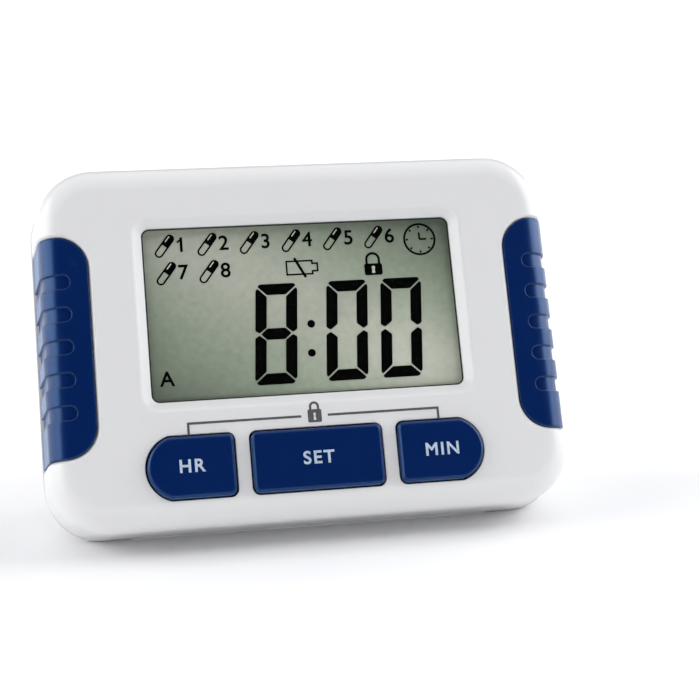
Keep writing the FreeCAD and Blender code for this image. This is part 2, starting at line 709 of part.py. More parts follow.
# Pill tray and lid
def make_pill_tray():
    block = rounded_block(-TRAY_HALF, TRAY_HALF, TRAY_BOTTOM, TRAY_TOP, TRAY_CORNER,
                          TRAY_FLOOR - TRAY_WALL, BACK_INNER)
    pitch = (2 * TRAY_HALF - TRAY_WALL) / COMPARTMENTS
    for index in range(COMPARTMENTS):
        x = -TRAY_HALF + TRAY_WALL + index * pitch
        block = block.cut(rounded_block(x, x + pitch - TRAY_WALL, TRAY_BOTTOM + TRAY_WALL,
                                        TRAY_TOP - TRAY_WALL, TRAY_CORNER - TRAY_WALL,
                                        TRAY_FLOOR, BACK_INNER))
    half = TONGUE_WIDTH / 2 + LID_GAP
    notch_front = CASE_DEPTH - LID_THICKNESS - TONGUE_REACH - LID_GAP
    return block.cut(box(-half, half, TRAY_BOTTOM, TRAY_BOTTOM + 2 * TRAY_WALL, notch_front, BACK_INNER))


def make_pill_lid():
    inner = CASE_DEPTH - LID_THICKNESS
    lug_edge = LID_AXIS_Y - LID_KNUCKLE - LID_GAP
    plate = rounded_block(-LID_HALF, LID_HALF, LID_BOTTOM, lug_edge + LID_CORNER, LID_CORNER,
                          inner, CASE_DEPTH)
    plate = plate.cut(box(-BIG, BIG, lug_edge, BIG, inner, CASE_DEPTH))
    neck = box(-KNUCKLE_HALF, KNUCKLE_HALF, lug_edge, LID_AXIS_Y, inner, CASE_DEPTH)
    knuckle = cross_rod(-KNUCKLE_HALF, KNUCKLE_HALF, LID_AXIS_Y, LID_AXIS_DEPTH, LID_KNUCKLE)
    half = TONGUE_WIDTH / 2
    catch = box(-half, half, LID_BOTTOM, LID_BOTTOM + TRAY_WALL, inner - TONGUE_REACH, inner)
    lid = fuse([plate, neck, knuckle, catch])
    return lid.cut(cross_rod(-BIG, BIG, LID_AXIS_Y, LID_AXIS_DEPTH, LID_PIN_RADIUS + HINGE_FIT))


def make_lid_pin():
    half = KNUCKLE_HALF + LID_GAP + LUG_PIN - HINGE_FIT
    return cross_rod(-half, half, LID_AXIS_Y, LID_AXIS_DEPTH, LID_PIN_RADIUS)


# Battery box, cell, contacts and door
def contact_leg(x0, x1, grow, front, back):
    half = CONTACT_LEG / 2 + grow
    return box(x0 - grow, x1 + grow, BATTERY_Y - half, BATTERY_Y + half, front, back)


def contact_span(side):
    end = CAVITY_LENGTH / 2 - CONTACT_SEAT
    return sorted((side * end, side * (end - CONTACT_THICKNESS)))


def make_battery_box():
    half = CAVITY_LENGTH / 2
    tall = CAVITY_WIDTH / 2
    block = box(-half - BATTERY_WALL, half + BATTERY_WALL, BATTERY_Y - tall - BATTERY_WALL,
                BATTERY_Y + tall + BATTERY_WALL, CAVITY_FLOOR - BATTERY_WALL, BACK_INNER)
    low = BATTERY_Y - tall
    corners = [e for e in block.Edges if e.BoundBox.ZLength > BATTERY_WALL and e.CenterOfMass.y < low]
    block = block.makeFillet(BATTERY_CORNER, corners)
    block = block.cut(box(-half, half, BATTERY_Y - tall, BATTERY_Y + tall, CAVITY_FLOOR, BACK_INNER))
    for side in (-1, 1):
        x0, x1 = contact_span(side)
        block = block.cut(contact_leg(x0, x1, CONTACT_SEAT, CAVITY_FLOOR - BATTERY_WALL, CAVITY_FLOOR))
    return block.cut(box(-BIG, BIG, BATTERY_Y - tall - BATTERY_WALL, DOOR_AXIS_Y + DOOR_KNUCKLE + DOOR_GAP,
                         DOOR_AXIS_DEPTH - DOOR_KNUCKLE - DOOR_GAP, BACK_INNER))


def make_battery_cell():
    body = cross_rod(CELL_TAIL_X, CELL_HEAD_X, BATTERY_Y, CELL_DEPTH, CELL_RADIUS)
    rims = [e for e in body.Edges if e.BoundBox.XLength < TOUCH]
    body = body.makeChamfer(CELL_EDGE, rims)
    nub = cross_rod(CELL_HEAD_X, CELL_NUB_X, BATTERY_Y, CELL_DEPTH, CELL_NUB_RADIUS)
    return fuse([body, nub])


def contact_plate(side):
    x0, x1 = contact_span(side)
    half = CONTACT_WIDTH / 2
    plate = box(x0, x1, BATTERY_Y - half, BATTERY_Y + half, CELL_DEPTH - half, CELL_DEPTH + half)
    return fuse([plate, contact_leg(x0, x1, 0, BOARD_BACK, CELL_DEPTH - half)])


def spring_path():
    start = contact_span(-1)[1]
    length = CELL_TAIL_X - start - SPRING_WIRE
    steps = 4 * SPRING_TURNS
    spots = []
    for index in range(2 * steps + 1):
        share = index / (2 * steps)
        angle = 2 * math.pi * SPRING_TURNS * share
        radius = between(SPRING_WIDE, SPRING_NARROW, share)
        spots.append(Vector(start + length * share, BATTERY_Y + radius * math.cos(angle),
                            radius * math.sin(angle) - CELL_DEPTH))
    arcs = [Part.Arc(*spots[index:index + 3]).toShape() for index in range(0, 2 * steps, 2)]
    return Part.Wire(arcs)


def coil_gap(path):
    spots = path.discretize(SPRING_TURNS * GAP_SPOTS)
    apart = min(a.distanceToPoint(b) for index, a in enumerate(spots) for b in spots[index + GAP_SPOTS // 2:])
    return apart - 2 * SPRING_WIRE


def wire_section(centre, along):
    side = Vector(1, 0, 0)
    across = along.cross(side).normalize()
    side = across.cross(along).normalize()
    spots = []
    for index in range(WIRE_SIDES):
        angle = 2 * math.pi * index / WIRE_SIDES
        turned = side * math.cos(angle) + across * math.sin(angle)
        spots.append(centre + turned * SPRING_WIRE)
    return Part.makePolygon(spots + spots[:1])


def make_spring_contact():
    path = spring_path()
    print("least gap between the spring's turns, mm:", round(coil_gap(path), 2))
    first = path.Edges[0]
    section = wire_section(first.valueAt(first.FirstParameter), first.tangentAt(first.FirstParameter))
    coil = path.makePipeShell([section], True, False)
    return fuse([contact_plate(-1), coil])


def make_battery_door():
    inner = CASE_DEPTH - DOOR_THICKNESS
    plate = box(-DOOR_HALF, DOOR_HALF, DOOR_AXIS_Y, DOOR_TOP, inner, CASE_DEPTH)
    knuckle = cross_rod(-DOOR_HALF, DOOR_HALF, DOOR_AXIS_Y, DOOR_AXIS_DEPTH, DOOR_KNUCKLE)
    reach = DOOR_HALF + DOOR_GAP + DOOR_PIN_LENGTH - HINGE_FIT
    pin = cross_rod(-reach, reach, DOOR_AXIS_Y, DOOR_AXIS_DEPTH, DOOR_PIN_RADIUS)
    door = fuse([plate, knuckle, pin])
    for index in range(DOOR_GRIP_COUNT):
        y = DOOR_TOP - (2 * index + 2) * DOOR_GRIP_WIDTH
        door = door.cut(box(-SCOOP_WIDTH / 2, SCOOP_WIDTH / 2, y - DOOR_GRIP_WIDTH / 2,
                            y + DOOR_GRIP_WIDTH / 2, CASE_DEPTH - DOOR_GRIP_DEPTH, CASE_DEPTH))
    return door


def build():
    pieces = {
        "front_housing": make_front_housing(),
        "rear_housing": make_rear_housing(),
        "left_grip": make_grip(-1),
        "right_grip": make_grip(1),
        "display_window": make_display_window(),
        "lcd_panel": make_lcd_panel(),
        "display_frame": make_display_frame(),
        "contact_strips": make_contact_strips(),
        "circuit_board": make_circuit_board(),
        "controller_cap": make_controller_cap(),
        "crystal": make_crystal(),
        "buzzer": make_buzzer(),
        "switch_bases": make_switch_bases(),
        "board_screws": make_board_screws(),
        "case_screws": make_case_screws(),
        "pill_tray": make_pill_tray(),
        "pill_lid": make_pill_lid(),
        "lid_pin": make_lid_pin(),
        "battery_box": make_battery_box(),
        "battery_cell": make_battery_cell(),
        "spring_contact": make_spring_contact(),
        "plate_contact": contact_plate(1),
        "battery_door": make_battery_door(),
    }
    for name, (outline, x) in BUTTONS.items():
        pieces[name + "_button"] = make_button(outline, x)
        pieces[name + "_plunger"] = make_plunger(x)
    return pieces


def lean_back(pieces):
    """Turn the face's frame so the base lies level, then put the origin under the middle."""
    turn = FreeCAD.Rotation(Vector(1, 0, 0), 90 - LEAN)
    whole = Part.makeCompound(list(pieces.values()))
    whole.Placement = FreeCAD.Placement(Vector(), turn)
    span = whole.optimalBoundingBox(False)
    shift = Vector(0, -(span.YMin + span.YMax) / 2, -span.ZMin)
    for shape in pieces.values():
        shape.Placement = FreeCAD.Placement(shift, turn)
    return pieces


os.makedirs("parts", exist_ok=True)
for node, solid in lean_back(build()).items():
    solid.exportStep("parts/" + node + ".step")
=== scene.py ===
import json
import math

import bmesh
import bpy
from bpy.props import FloatProperty, FloatVectorProperty, PointerProperty, StringProperty
from mathutils import Matrix, Vector


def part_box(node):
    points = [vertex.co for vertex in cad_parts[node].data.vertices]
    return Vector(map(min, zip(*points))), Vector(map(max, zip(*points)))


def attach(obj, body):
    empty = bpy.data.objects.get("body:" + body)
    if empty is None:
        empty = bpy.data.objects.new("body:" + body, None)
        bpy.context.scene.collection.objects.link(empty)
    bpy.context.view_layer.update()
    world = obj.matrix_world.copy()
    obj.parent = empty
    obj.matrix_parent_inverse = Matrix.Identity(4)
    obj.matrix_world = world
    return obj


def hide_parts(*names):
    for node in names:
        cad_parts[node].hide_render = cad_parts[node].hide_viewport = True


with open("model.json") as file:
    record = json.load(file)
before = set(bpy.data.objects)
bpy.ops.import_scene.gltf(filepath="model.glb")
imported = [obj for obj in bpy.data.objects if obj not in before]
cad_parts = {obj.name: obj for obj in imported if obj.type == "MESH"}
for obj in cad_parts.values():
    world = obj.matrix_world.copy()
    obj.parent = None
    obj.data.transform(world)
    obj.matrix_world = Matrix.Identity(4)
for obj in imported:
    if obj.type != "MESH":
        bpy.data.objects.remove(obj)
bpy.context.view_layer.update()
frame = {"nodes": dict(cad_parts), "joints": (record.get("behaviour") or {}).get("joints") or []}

bl_info = {
    "name": "Pill Box Timer Dressing",
    "version": (1, 0, 0),
    "blender": (4, 5, 0),
    "location": "View3D > Sidebar > Pill Box",
    "description": "Finishes, display figures, prints and a small stage for a pill box with timer",
    "category": "Object",
}

MILLIMETRE = 0.001

# Places on the face in millimetres, from its middle: x to the right, y up the face, depth behind it
WINDOW_RISE = 4.55
WINDOW_MIDDLE_DEPTH = 2.3
WINDOW_FRONT_DEPTH = 1.8
WINDOW_CORNER = 1.3
WINDOW_SHADE_WIDTH = 0.25
WINDOW_HALF_WIDTH = 25.0
WINDOW_HALF_HEIGHT = 14.0
DISPLAY_DEPTH = 2.9
BUTTON_TOP_DEPTH = -0.9


def face_frame():
    """Turn and place of the face in the row frame, in metres."""
    press = next(Vector(joint["axis"]) for joint in frame["joints"] if joint["name"] == "mode_press")
    out = -press
    right = Vector((1, 0, 0))
    up = out.cross(right)
    low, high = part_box("display_window")
    middle = (low + high) / 2 + (out * WINDOW_MIDDLE_DEPTH - up * WINDOW_RISE) * MILLIMETRE
    return Matrix.Translation(middle) @ Matrix((right, up, out)).transposed().to_4x4()


FACE = face_frame()
FACE_UP = FACE.to_3x3().col[1]


def on_face(x, y, depth):
    """Matrix that sets a flat drawing in millimetres on the face, that far behind it."""
    return FACE @ Matrix.Scale(MILLIMETRE, 4) @ Matrix.Translation((x, y, -depth))


def in_millimetres(length):
    return length / MILLIMETRE


# Settings a user would change
def colour_setting(name, description, default):
    return FloatVectorProperty(name=name, description=description, subtype="COLOR", size=4,
                               min=0, max=1, default=(*default, 1))


def length_setting(name, description, millimetres):
    return FloatProperty(name=name, description=description, subtype="DISTANCE", unit="LENGTH",
                         precision=5, min=0, default=millimetres * MILLIMETRE)


def angle_setting(name, description, degrees):
    return FloatProperty(name=name, description=description, subtype="ANGLE", unit="ROTATION",
                         default=math.radians(degrees))


def power_setting(name, description, watts):
    return FloatProperty(name=name, description=description, subtype="POWER", unit="POWER", default=watts)


class PillBoxFinish(bpy.types.PropertyGroup):
    """Colours of the mouldings, the display and the inks."""

    shell_white: colour_setting("Shell white", "Colour of the moulded case", (0.74, 0.74, 0.745))
    trim_blue: colour_setting("Trim blue", "Colour of the grips and the buttons", (0.0001, 0.0118, 0.088))
    # The display's bright band is a painted highlight and its dark corners are painted shade; the middle tone
    # lies between them
    display_highlight_band: colour_setting("Display light", "Display colour in its bright band", (0.60, 0.632, 0.525))
    display_mid: colour_setting("Display middle", "Display colour beside the bright band",
                                (0.41, 0.48, 0.367))
    display_shade_corners: colour_setting("Display dark", "Display colour in its dark corners", (0.21, 0.268, 0.192))
    # Painted shade: colour of a dark line round the window, standing for the shaded gap at its edge
    window_shade_colour: colour_setting("Display edge", "Line round the window", (0.03, 0.034, 0.03))
    segment_black: colour_setting("Segment black", "Colour of the display's figures", (0.001, 0.001, 0.001))
    print_grey: colour_setting("Print grey", "Colour of the lock print on the face", (0.09, 0.09, 0.095))
    label_white: colour_setting("Label white", "Colour of the button labels", (0.47, 0.56, 0.66))
    tray_white: colour_setting("Tray white", "Colour of the pill tray", (0.70, 0.71, 0.70))
    inner_grey: colour_setting("Inner grey", "Colour of the battery box and the display frame",
                               (0.16, 0.165, 0.17))
    board_green: colour_setting("Board green", "Lacquer on the circuit board", (0.010, 0.085, 0.030))
    cell_dark: colour_setting("Cell dark", "Main colour of the cell's jacket", (0.03, 0.032, 0.036))
    cell_band: colour_setting("Cell band", "Band at the cell's positive end", (0.52, 0.25, 0.09))


class PillBoxMarks(bpy.types.PropertyGroup):
    """Sizes of the display's figures, the prints and the labels."""

    ink_thickness: length_setting("Ink thickness", "Height of a print above its surface", 0.03)
    digit_width: length_setting("Digit width", "Width of a seven-segment figure", 6.76)
    digit_height: length_setting("Digit height", "Height of a seven-segment figure", 16.35)
    digit_slant: angle_setting("Digit slant", "Lean of the seven-segment figures", 4.65)
    colon_radius: length_setting("Colon radius", "Radius of the colon's dots", 0.63)
    pill_length: length_setting("Pill length", "Length of a pill sign on the display", 4.4)
    pill_width: length_setting("Pill width", "Width of a pill sign on the display", 1.4)
    pill_pitch: length_setting("Pill pitch", "Distance from one pill sign to the next", 6.79)
    pill_lean: angle_setting("Pill lean", "Lean of the pill signs", 38)
    number_height: length_setting("Number height", "Letter size of the numbers beside the pills", 3.35)
    fine_line: length_setting("Fine line", "Width of the display's thin lines", 0.27)
    print_line: length_setting("Print line", "Width of the lock print's lines", 0.37)
    label_height: length_setting("Label height", "Letter size of the button labels", 2.8)
    hour_label: StringProperty(name="Left label", description="Label of the left button", default="HR")
    mode_label: StringProperty(name="Middle label", description="Label of the middle button", default="SET")
    minute_label: StringProperty(name="Right label", description="Label of the right button", default="MIN")


class PillBoxStage(bpy.types.PropertyGroup):
    """Camera, lights and floor."""

    lens: FloatProperty(name="Lens", description="Focal length on a 36 mm sensor", subtype="DISTANCE_CAMERA",
                        unit="CAMERA", default=78.72)
    camera_place: FloatVectorProperty(name="Camera place", description="Camera from the middle of the face",
                                      subtype="TRANSLATION", unit="LENGTH", size=3,
                                      default=(-0.03661, -0.04746, 0.23446))
    camera_turn: FloatVectorProperty(name="Camera turn", description="Pitch, yaw and roll against the face",
                                     subtype="EULER", unit="ROTATION", size=3,
                                     default=(-0.184112, 0.182122, 0.091069))
    floor_white: colour_setting("Floor white", "Colour of the floor", (0.92, 0.92, 0.93))
    top_power: power_setting("Top light", "Power of the softbox overhead", 5.7)
    left_power: power_setting("Left light", "Power of the softbox on the left", 3.8)
    right_power: power_setting("Right light", "Power of the softbox on the right", 4.3)
    front_power: power_setting("Front light", "Power of the low softbox in front", 0.5)
    backdrop_glow: FloatProperty(name="Backdrop glow", description="Strength of the low lit wall all round",
                                 default=1.0)
    sky_tint: colour_setting("Sky tint", "Colour of the even light all round", (0.72, 0.82, 1.0))
    sky: FloatProperty(name="Sky", description="Strength of the even light all round", default=0.05)


# Material parts
PLAIN = (1.0, 1.0, 1.0, 1.0)
BLUE_GLOSS = (0.28, 0.55, 1.0, 1.0)
BARE_METAL = (0.62, 0.61, 0.59, 1.0)
SHEEN_ROUGHNESS = 0.35
COAT_ROUGHNESS = 0.12
EDGE_SAMPLES = 6


def start_finish(name):
    """A new node material with its shader and the object's own coordinates."""
    material = bpy.data.materials.new(name)
    material.use_nodes = True
    tree = material.node_tree
    tree.nodes.clear()
    output = tree.nodes.new("ShaderNodeOutputMaterial")
    shader = tree.nodes.new("ShaderNodeBsdfPrincipled")
    tree.links.new(shader.outputs["BSDF"], output.inputs["Surface"])
    place = tree.nodes.new("ShaderNodeTexCoord").outputs["Object"]
    return material, tree, shader, place


def cloud(tree, place, scale, detail=2.0):
    noise = tree.nodes.new("ShaderNodeTexNoise")
    noise.inputs["Scale"].default_value = scale
    noise.inputs["Detail"].default_value = detail
    tree.links.new(place, noise.inputs["Vector"])
    return noise.outputs["Fac"]


def span(tree, factor, low, high, new_low, new_high):
    spread = tree.nodes.new("ShaderNodeMapRange")
    for socket, value in zip(("From Min", "From Max", "To Min", "To Max"), (low, high, new_low, new_high)):
        spread.inputs[socket].default_value = value
    tree.links.new(factor, spread.inputs["Value"])
    return spread.outputs["Result"]


def along(tree, place, direction, start, end):
    """Runs from 0 to 1 between two distances along a direction, in metres."""
    product = tree.nodes.new("ShaderNodeVectorMath")
    product.operation = "DOT_PRODUCT"
    product.inputs[1].default_value = direction
    tree.links.new(place, product.inputs[0])
    return span(tree, product.outputs["Value"], start, end, 0.0, 1.0)


def display_diagonal(tree, place, rise):
    """Runs from 0 to 1 between opposite corners of the display: rise is 1 upwards, -1 downwards."""
    middle = on_face(0, WINDOW_RISE, DISPLAY_DEPTH).to_translation()
    slope = Vector((1, 0, 0)) / WINDOW_HALF_WIDTH + rise * FACE_UP / WINDOW_HALF_HEIGHT
    direction = slope / (2 * MILLIMETRE)
    offset = direction.dot(middle)
    return along(tree, place, direction, offset - 1, offset + 1)


def tones(tree, factor, stops, interpolation="LINEAR"):
    ramp = tree.nodes.new("ShaderNodeValToRGB")
    ramp.color_ramp.interpolation = interpolation
    points = ramp.color_ramp.elements
    for index, (position, colour) in enumerate(stops):
        point = points[index] if index < len(points) else points.new(position)
        point.position = position
        point.color = colour
    tree.links.new(factor, ramp.inputs["Fac"])
    return ramp.outputs["Color"]


def shaded(colour, share):
    return (*(min(1.0, part * share) for part in colour[:3]), 1.0)


def mottle(tree, factor, colour, dark, pale, low=0.3, high=0.7):
    """Two tones of one colour, given as shares of it."""
    return tones(tree, factor, ((low, shaded(colour, dark)), (high, shaded(colour, pale))))


def mixed(tree, blend, share, first, second):
    mix = tree.nodes.new("ShaderNodeMixRGB")
    mix.blend_type = blend
    mix.inputs["Fac"].default_value = share
    tree.links.new(first, mix.inputs["Color1"])
    tree.links.new(second, mix.inputs["Color2"])
    return mix.outputs["Color"]


def grain(tree, shader, height, depth, edge=None):
    """Fine relief, over edges that look rounded where an edge radius is given."""
    bump = tree.nodes.new("ShaderNodeBump")
    bump.inputs["Strength"].default_value = 1.0
    bump.inputs["Distance"].default_value = depth
    tree.links.new(height, bump.inputs["Height"])
    if edge:
        soften = tree.nodes.new("ShaderNodeBevel")
        soften.samples = EDGE_SAMPLES
        soften.inputs["Radius"].default_value = edge
        tree.links.new(soften.outputs["Normal"], bump.inputs["Normal"])
    tree.links.new(bump.outputs["Normal"], shader.inputs["Normal"])


def uneven_gloss(tree, shader, place, scale, rough):
    """Roughness that drifts between two values."""
    drift = span(tree, cloud(tree, place, scale, detail=0.0), 0.0, 1.0, rough[0], rough[1])
    tree.links.new(drift, shader.inputs["Roughness"])


# Finishes
def moulded(name, colour, rough, relief, spread=0.04, gloss=0.5, coat=0.0, sheen=0.0, edge=None,
            tint=PLAIN):
    """Moulded plastic: faint clouds of tone, uneven gloss and a fine skin."""
    material, tree, shader, place = start_finish(name)
    paint = mottle(tree, cloud(tree, place, scale=55.0, detail=3.0), colour, dark=1 - spread, pale=1 + spread)
    tree.links.new(paint, shader.inputs["Base Color"])
    uneven_gloss(tree, shader, place, scale=420.0, rough=rough)
    shader.inputs["Specular IOR Level"].default_value = gloss
    shader.inputs["Coat Weight"].default_value = coat
    shader.inputs["Coat Roughness"].default_value = COAT_ROUGHNESS
    shader.inputs["Sheen Weight"].default_value = sheen
    shader.inputs["Sheen Roughness"].default_value = SHEEN_ROUGHNESS
    shader.inputs["Sheen Tint"].default_value = tint
    shader.inputs["Specular Tint"].default_value = tint
    grain(tree, shader, cloud(tree, place, scale=3200.0, detail=1.0), relief, edge)
    return material


def ink(name, colour, rough, gloss=0.3):
    """Printed ink with slightly uneven cover."""
    material, tree, shader, place = start_finish(name)
    cover = cloud(tree, place, scale=1500.0, detail=3.0)
    paint = mottle(tree, cover, colour, dark=0.86, pale=1.1, low=0.35, high=0.65)
    tree.links.new(paint, shader.inputs["Base Color"])
    shader.inputs["Roughness"].default_value = rough
    shader.inputs["Specular IOR Level"].default_value = gloss
    grain(tree, shader, cloud(tree, place, scale=5000.0), depth=0.000002)
    return material


def plated(name, colour, rough, scratch):
    """Plated metal with drawn scratches across one direction."""
    material, tree, shader, place = start_finish(name)
    stretch = tree.nodes.new("ShaderNodeMapping")
    stretch.inputs["Scale"].default_value = scratch
    tree.links.new(place, stretch.inputs["Vector"])
    lines = cloud(tree, stretch.outputs["Vector"], scale=1.0, detail=4.0)
    tree.links.new(mottle(tree, lines, colour, dark=0.8, pale=1.12), shader.inputs["Base Color"])
    shader.inputs["Metallic"].default_value = 1.0
    tree.links.new(span(tree, lines, 0.3, 0.7, rough[0], rough[1]), shader.inputs["Roughness"])
    grain(tree, shader, lines, depth=0.000006)
    return material


def display_with_painted_light(settings):
    """Grey-green display with painted light: a painted highlight band between two opposite corners, painted
    shade at the other two, and more painted light towards the lower right.
    """
    material, tree, shader, place = start_finish("grey_green_display_painted_light")
    dark, mid, light = settings.display_shade_corners, settings.display_mid, settings.display_highlight_band
    # Painted highlight band across the grey-green, going over to painted shade in the other two corners
    band = ((0.04, dark), (0.29, mid), (0.48, light), (0.57, light), (0.73, mid), (0.95, dark))
    # Painted light: the display grows brighter towards the lower right end of the band
    painted_fade = ((0.0, shaded(PLAIN, 0.74)), (0.55, shaded(PLAIN, 0.745)), (0.88, PLAIN))
    paint = tones(tree, display_diagonal(tree, place, 1), band)
    shade = tones(tree, display_diagonal(tree, place, -1), painted_fade)
    lit = mixed(tree, "MULTIPLY", 1.0, paint, shade)
    mottled = mixed(tree, "OVERLAY", 0.18, lit, cloud(tree, place, scale=900.0, detail=4.0))
    tree.links.new(mottled, shader.inputs["Base Color"])
    uneven_gloss(tree, shader, place, scale=300.0, rough=(0.42, 0.55))
    return material


def window_finish():
    """Clear window: nearly all light passes, with a faint haze and a polished skin."""
    material, tree, shader, place = start_finish("clear_window")
    haze = ((0.3, (0.02, 0.025, 0.02, 1)), (0.7, (0.03, 0.035, 0.03, 1)))
    tree.links.new(tones(tree, cloud(tree, place, scale=120.0), haze), shader.inputs["Base Color"])
    uneven_gloss(tree, shader, place, scale=200.0, rough=(0.03, 0.07))
    shader.inputs["Alpha"].default_value = 0.03
    return material


def board_finish(settings):
    """Green lacquer over copper tracks."""
    material, tree, shader, place = start_finish("lacquered_board")
    tracks = tree.nodes.new("ShaderNodeTexBrick")
    tracks.inputs["Scale"].default_value = 160.0
    tracks.inputs["Mortar Size"].default_value = 0.05
    tracks.inputs["Color1"].default_value = settings.board_green
    tracks.inputs["Color2"].default_value = shaded(settings.board_green, 0.75)
    tracks.inputs["Mortar"].default_value = shaded(settings.board_green, 2.2)
    tree.links.new(place, tracks.inputs["Vector"])
    tree.links.new(tracks.outputs["Color"], shader.inputs["Base Color"])
    uneven_gloss(tree, shader, place, scale=500.0, rough=(0.25, 0.4))
    grain(tree, shader, tracks.outputs["Fac"], depth=0.00002)
    return material


def strip_finish():
    """Contact strips of alternate dark and pale rubber layers."""
    material, tree, shader, place = start_finish("layered_rubber")
    layers = tree.nodes.new("ShaderNodeTexWave")
    layers.bands_direction = "X"
    layers.inputs["Scale"].default_value = 1500.0
    layers.inputs["Distortion"].default_value = 0.4
    tree.links.new(place, layers.inputs["Vector"])
    rubber = ((0.45, (0.02, 0.02, 0.022, 1)), (0.55, (0.30, 0.29, 0.27, 1)))
    tree.links.new(tones(tree, layers.outputs["Fac"], rubber), shader.inputs["Base Color"])
    shader.inputs["Roughness"].default_value = 0.7
    grain(tree, shader, layers.outputs["Fac"], depth=0.00001)
    return material


def cell_finish(settings):
    """Cell jacket with a bright band at its positive end and bare metal at both caps."""
    material, tree, shader, place = start_finish("cell_jacket")
    low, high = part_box("battery_cell")
    length = along(tree, place, Vector((1, 0, 0)), low.x, high.x)
    jacket = ((0.0, BARE_METAL), (0.012, settings.cell_dark), (0.70, settings.cell_band), (0.968, BARE_METAL))
    paint = tones(tree, length, jacket, "CONSTANT")
    worn = mixed(tree, "SOFT_LIGHT", 0.3, paint, cloud(tree, place, scale=260.0, detail=5.0))
    tree.links.new(worn, shader.inputs["Base Color"])
    shader.inputs["Metallic"].default_value = 0.75
    uneven_gloss(tree, shader, place, scale=700.0, rough=(0.22, 0.36))
    return material


def dress(material, *names):
    """Give these pieces of the part one finish."""
    for name in names:
        slots = frame["nodes"][name].data.materials
        slots.clear()
        slots.append(material)


# Meshes
def as_object(body, name):
    mesh = bpy.data.meshes.new(name)
    body.to_mesh(mesh)
    body.free()
    piece = bpy.data.objects.new(name, mesh)
    bpy.context.scene.collection.objects.link(piece)
    return piece


def finished_mesh(carrier):
    """The mesh of an object as its text or its modifiers leave it."""
    bpy.context.view_layer.update()
    return bpy.data.meshes.new_from_object(carrier.evaluated_get(bpy.context.evaluated_depsgraph_get()))


# Flat drawings in millimetres
CAPSULE_END = 0.499
CIRCLE_SIDES = 40
BAR_CORNER_STEPS = 8
TILE_CORNER_STEPS = 4
SHARPEST_MITRE = 0.4
PAGE_MERGE = 1e-5


def round_corners(sheet, corner, steps):
    bmesh.ops.bevel(sheet, geom=sheet.verts, offset=corner, offset_type="OFFSET", segments=steps, profile=0.5,
                    affect="VERTICES", material=-1)


def bar(width, height, corner=0.0):
    sheet = bmesh.new()
    bmesh.ops.create_grid(sheet, x_segments=1, y_segments=1, size=0.5)
    bmesh.ops.scale(sheet, vec=(width, height, 1), verts=sheet.verts)
    if corner:
        round_corners(sheet, corner, BAR_CORNER_STEPS)
    return sheet


def capsule(length, width):
    return bar(width, length, width * CAPSULE_END)


def dot(radius):
    sheet = bmesh.new()
    bmesh.ops.create_circle(sheet, cap_ends=True, radius=radius, segments=CIRCLE_SIDES)
    return sheet


def tile(points, corner=0.0):
    sheet = bmesh.new()
    sheet.faces.new([sheet.verts.new((x, y, 0)) for x, y in points])
    sheet.normal_update()
    if corner:
        round_corners(sheet, corner, TILE_CORNER_STEPS)
    return sheet


def rim_of(sheet, line):
    """Keep only a line of that width along the edge of a one-face drawing."""
    inner = list(sheet.faces)
    bmesh.ops.inset_region(sheet, faces=inner, thickness=line, use_even_offset=True, use_boundary=True)
    bmesh.ops.delete(sheet, geom=inner, context="FACES")
    return sheet


def part_of(sheet, point, normal):
    """Keep the side of a drawing that the normal points away from."""
    geometry = list(sheet.verts) + list(sheet.edges) + list(sheet.faces)
    bmesh.ops.bisect_plane(sheet, geom=geometry, plane_co=point, plane_no=normal, clear_outer=True)
    return sheet


def stamp(page, sheet, x=0.0, y=0.0, turn=0.0):
    """Set a drawing on the page and drop the drawing."""
    bmesh.ops.transform(sheet, matrix=Matrix.Translation((x, y, 0)) @ Matrix.Rotation(turn, 4, "Z"),
                        verts=sheet.verts)
    scrap = bpy.data.meshes.new("stamp")
    sheet.to_mesh(scrap)
    sheet.free()
    page.from_mesh(scrap)
    bpy.data.meshes.remove(scrap)


def outward(vertex, edge):
    """Direction across an outline's edge, away from the drawing."""
    other = edge.other_vert(vertex).co
    across = (other - vertex.co).normalized().cross(Vector((0, 0, 1)))
    inside = edge.link_faces[0].calc_center_median() - (other + vertex.co) / 2
    return -across if across.dot(inside) > 0 else across


def thicken(sheet, reach):
    """Push the outline of a flat drawing outwards by that reach."""
    moves = []
    for vertex in sheet.verts:
        sides = [edge for edge in vertex.link_edges if edge.is_boundary]
        if len(sides) == 2:
            first, second = (outward(vertex, edge) for edge in sides)
            mitre = max(SHARPEST_MITRE, 1 + first.dot(second))
            moves.append((vertex, (first + second) * (reach / mitre)))
    for vertex, move in moves:
        vertex.co += move


def letters(text, height, weight=0.0, spacing=1.0):
    """A word as a flat drawing, centred, with strokes thickened by a share of its height."""
    curve = bpy.data.curves.new("letters", "FONT")
    curve.body = text
    curve.size = height
    curve.space_character = spacing
    curve.align_x = "CENTER"
    curve.align_y = "CENTER"
    carrier = bpy.data.objects.new("letters", curve)
    bpy.context.scene.collection.objects.link(carrier)
    mesh = finished_mesh(carrier)
    bpy.data.objects.remove(carrier)
    bpy.data.curves.remove(curve)
    sheet = bmesh.new()
    sheet.from_mesh(mesh)
    bpy.data.meshes.remove(mesh)
    thicken(sheet, height * weight)
    return sheet


def print_page(page, name, place, thickness, material, body):
    """Give the page its ink thickness, set it in place and let it ride on a body."""
    bmesh.ops.remove_doubles(page, verts=page.verts, dist=PAGE_MERGE)
    bmesh.ops.recalc_face_normals(page, faces=page.faces)
    bmesh.ops.solidify(page, geom=page.faces, thickness=in_millimetres(thickness))
    lowest = min(vertex.co.z for vertex in page.verts)
    bmesh.ops.translate(page, vec=(0, 0, -lowest), verts=page.verts)
    bmesh.ops.recalc_face_normals(page, faces=page.faces)
    piece = as_object(page, name)
    piece.data.transform(place)
    piece.data.materials.append(material)
    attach(piece, body)


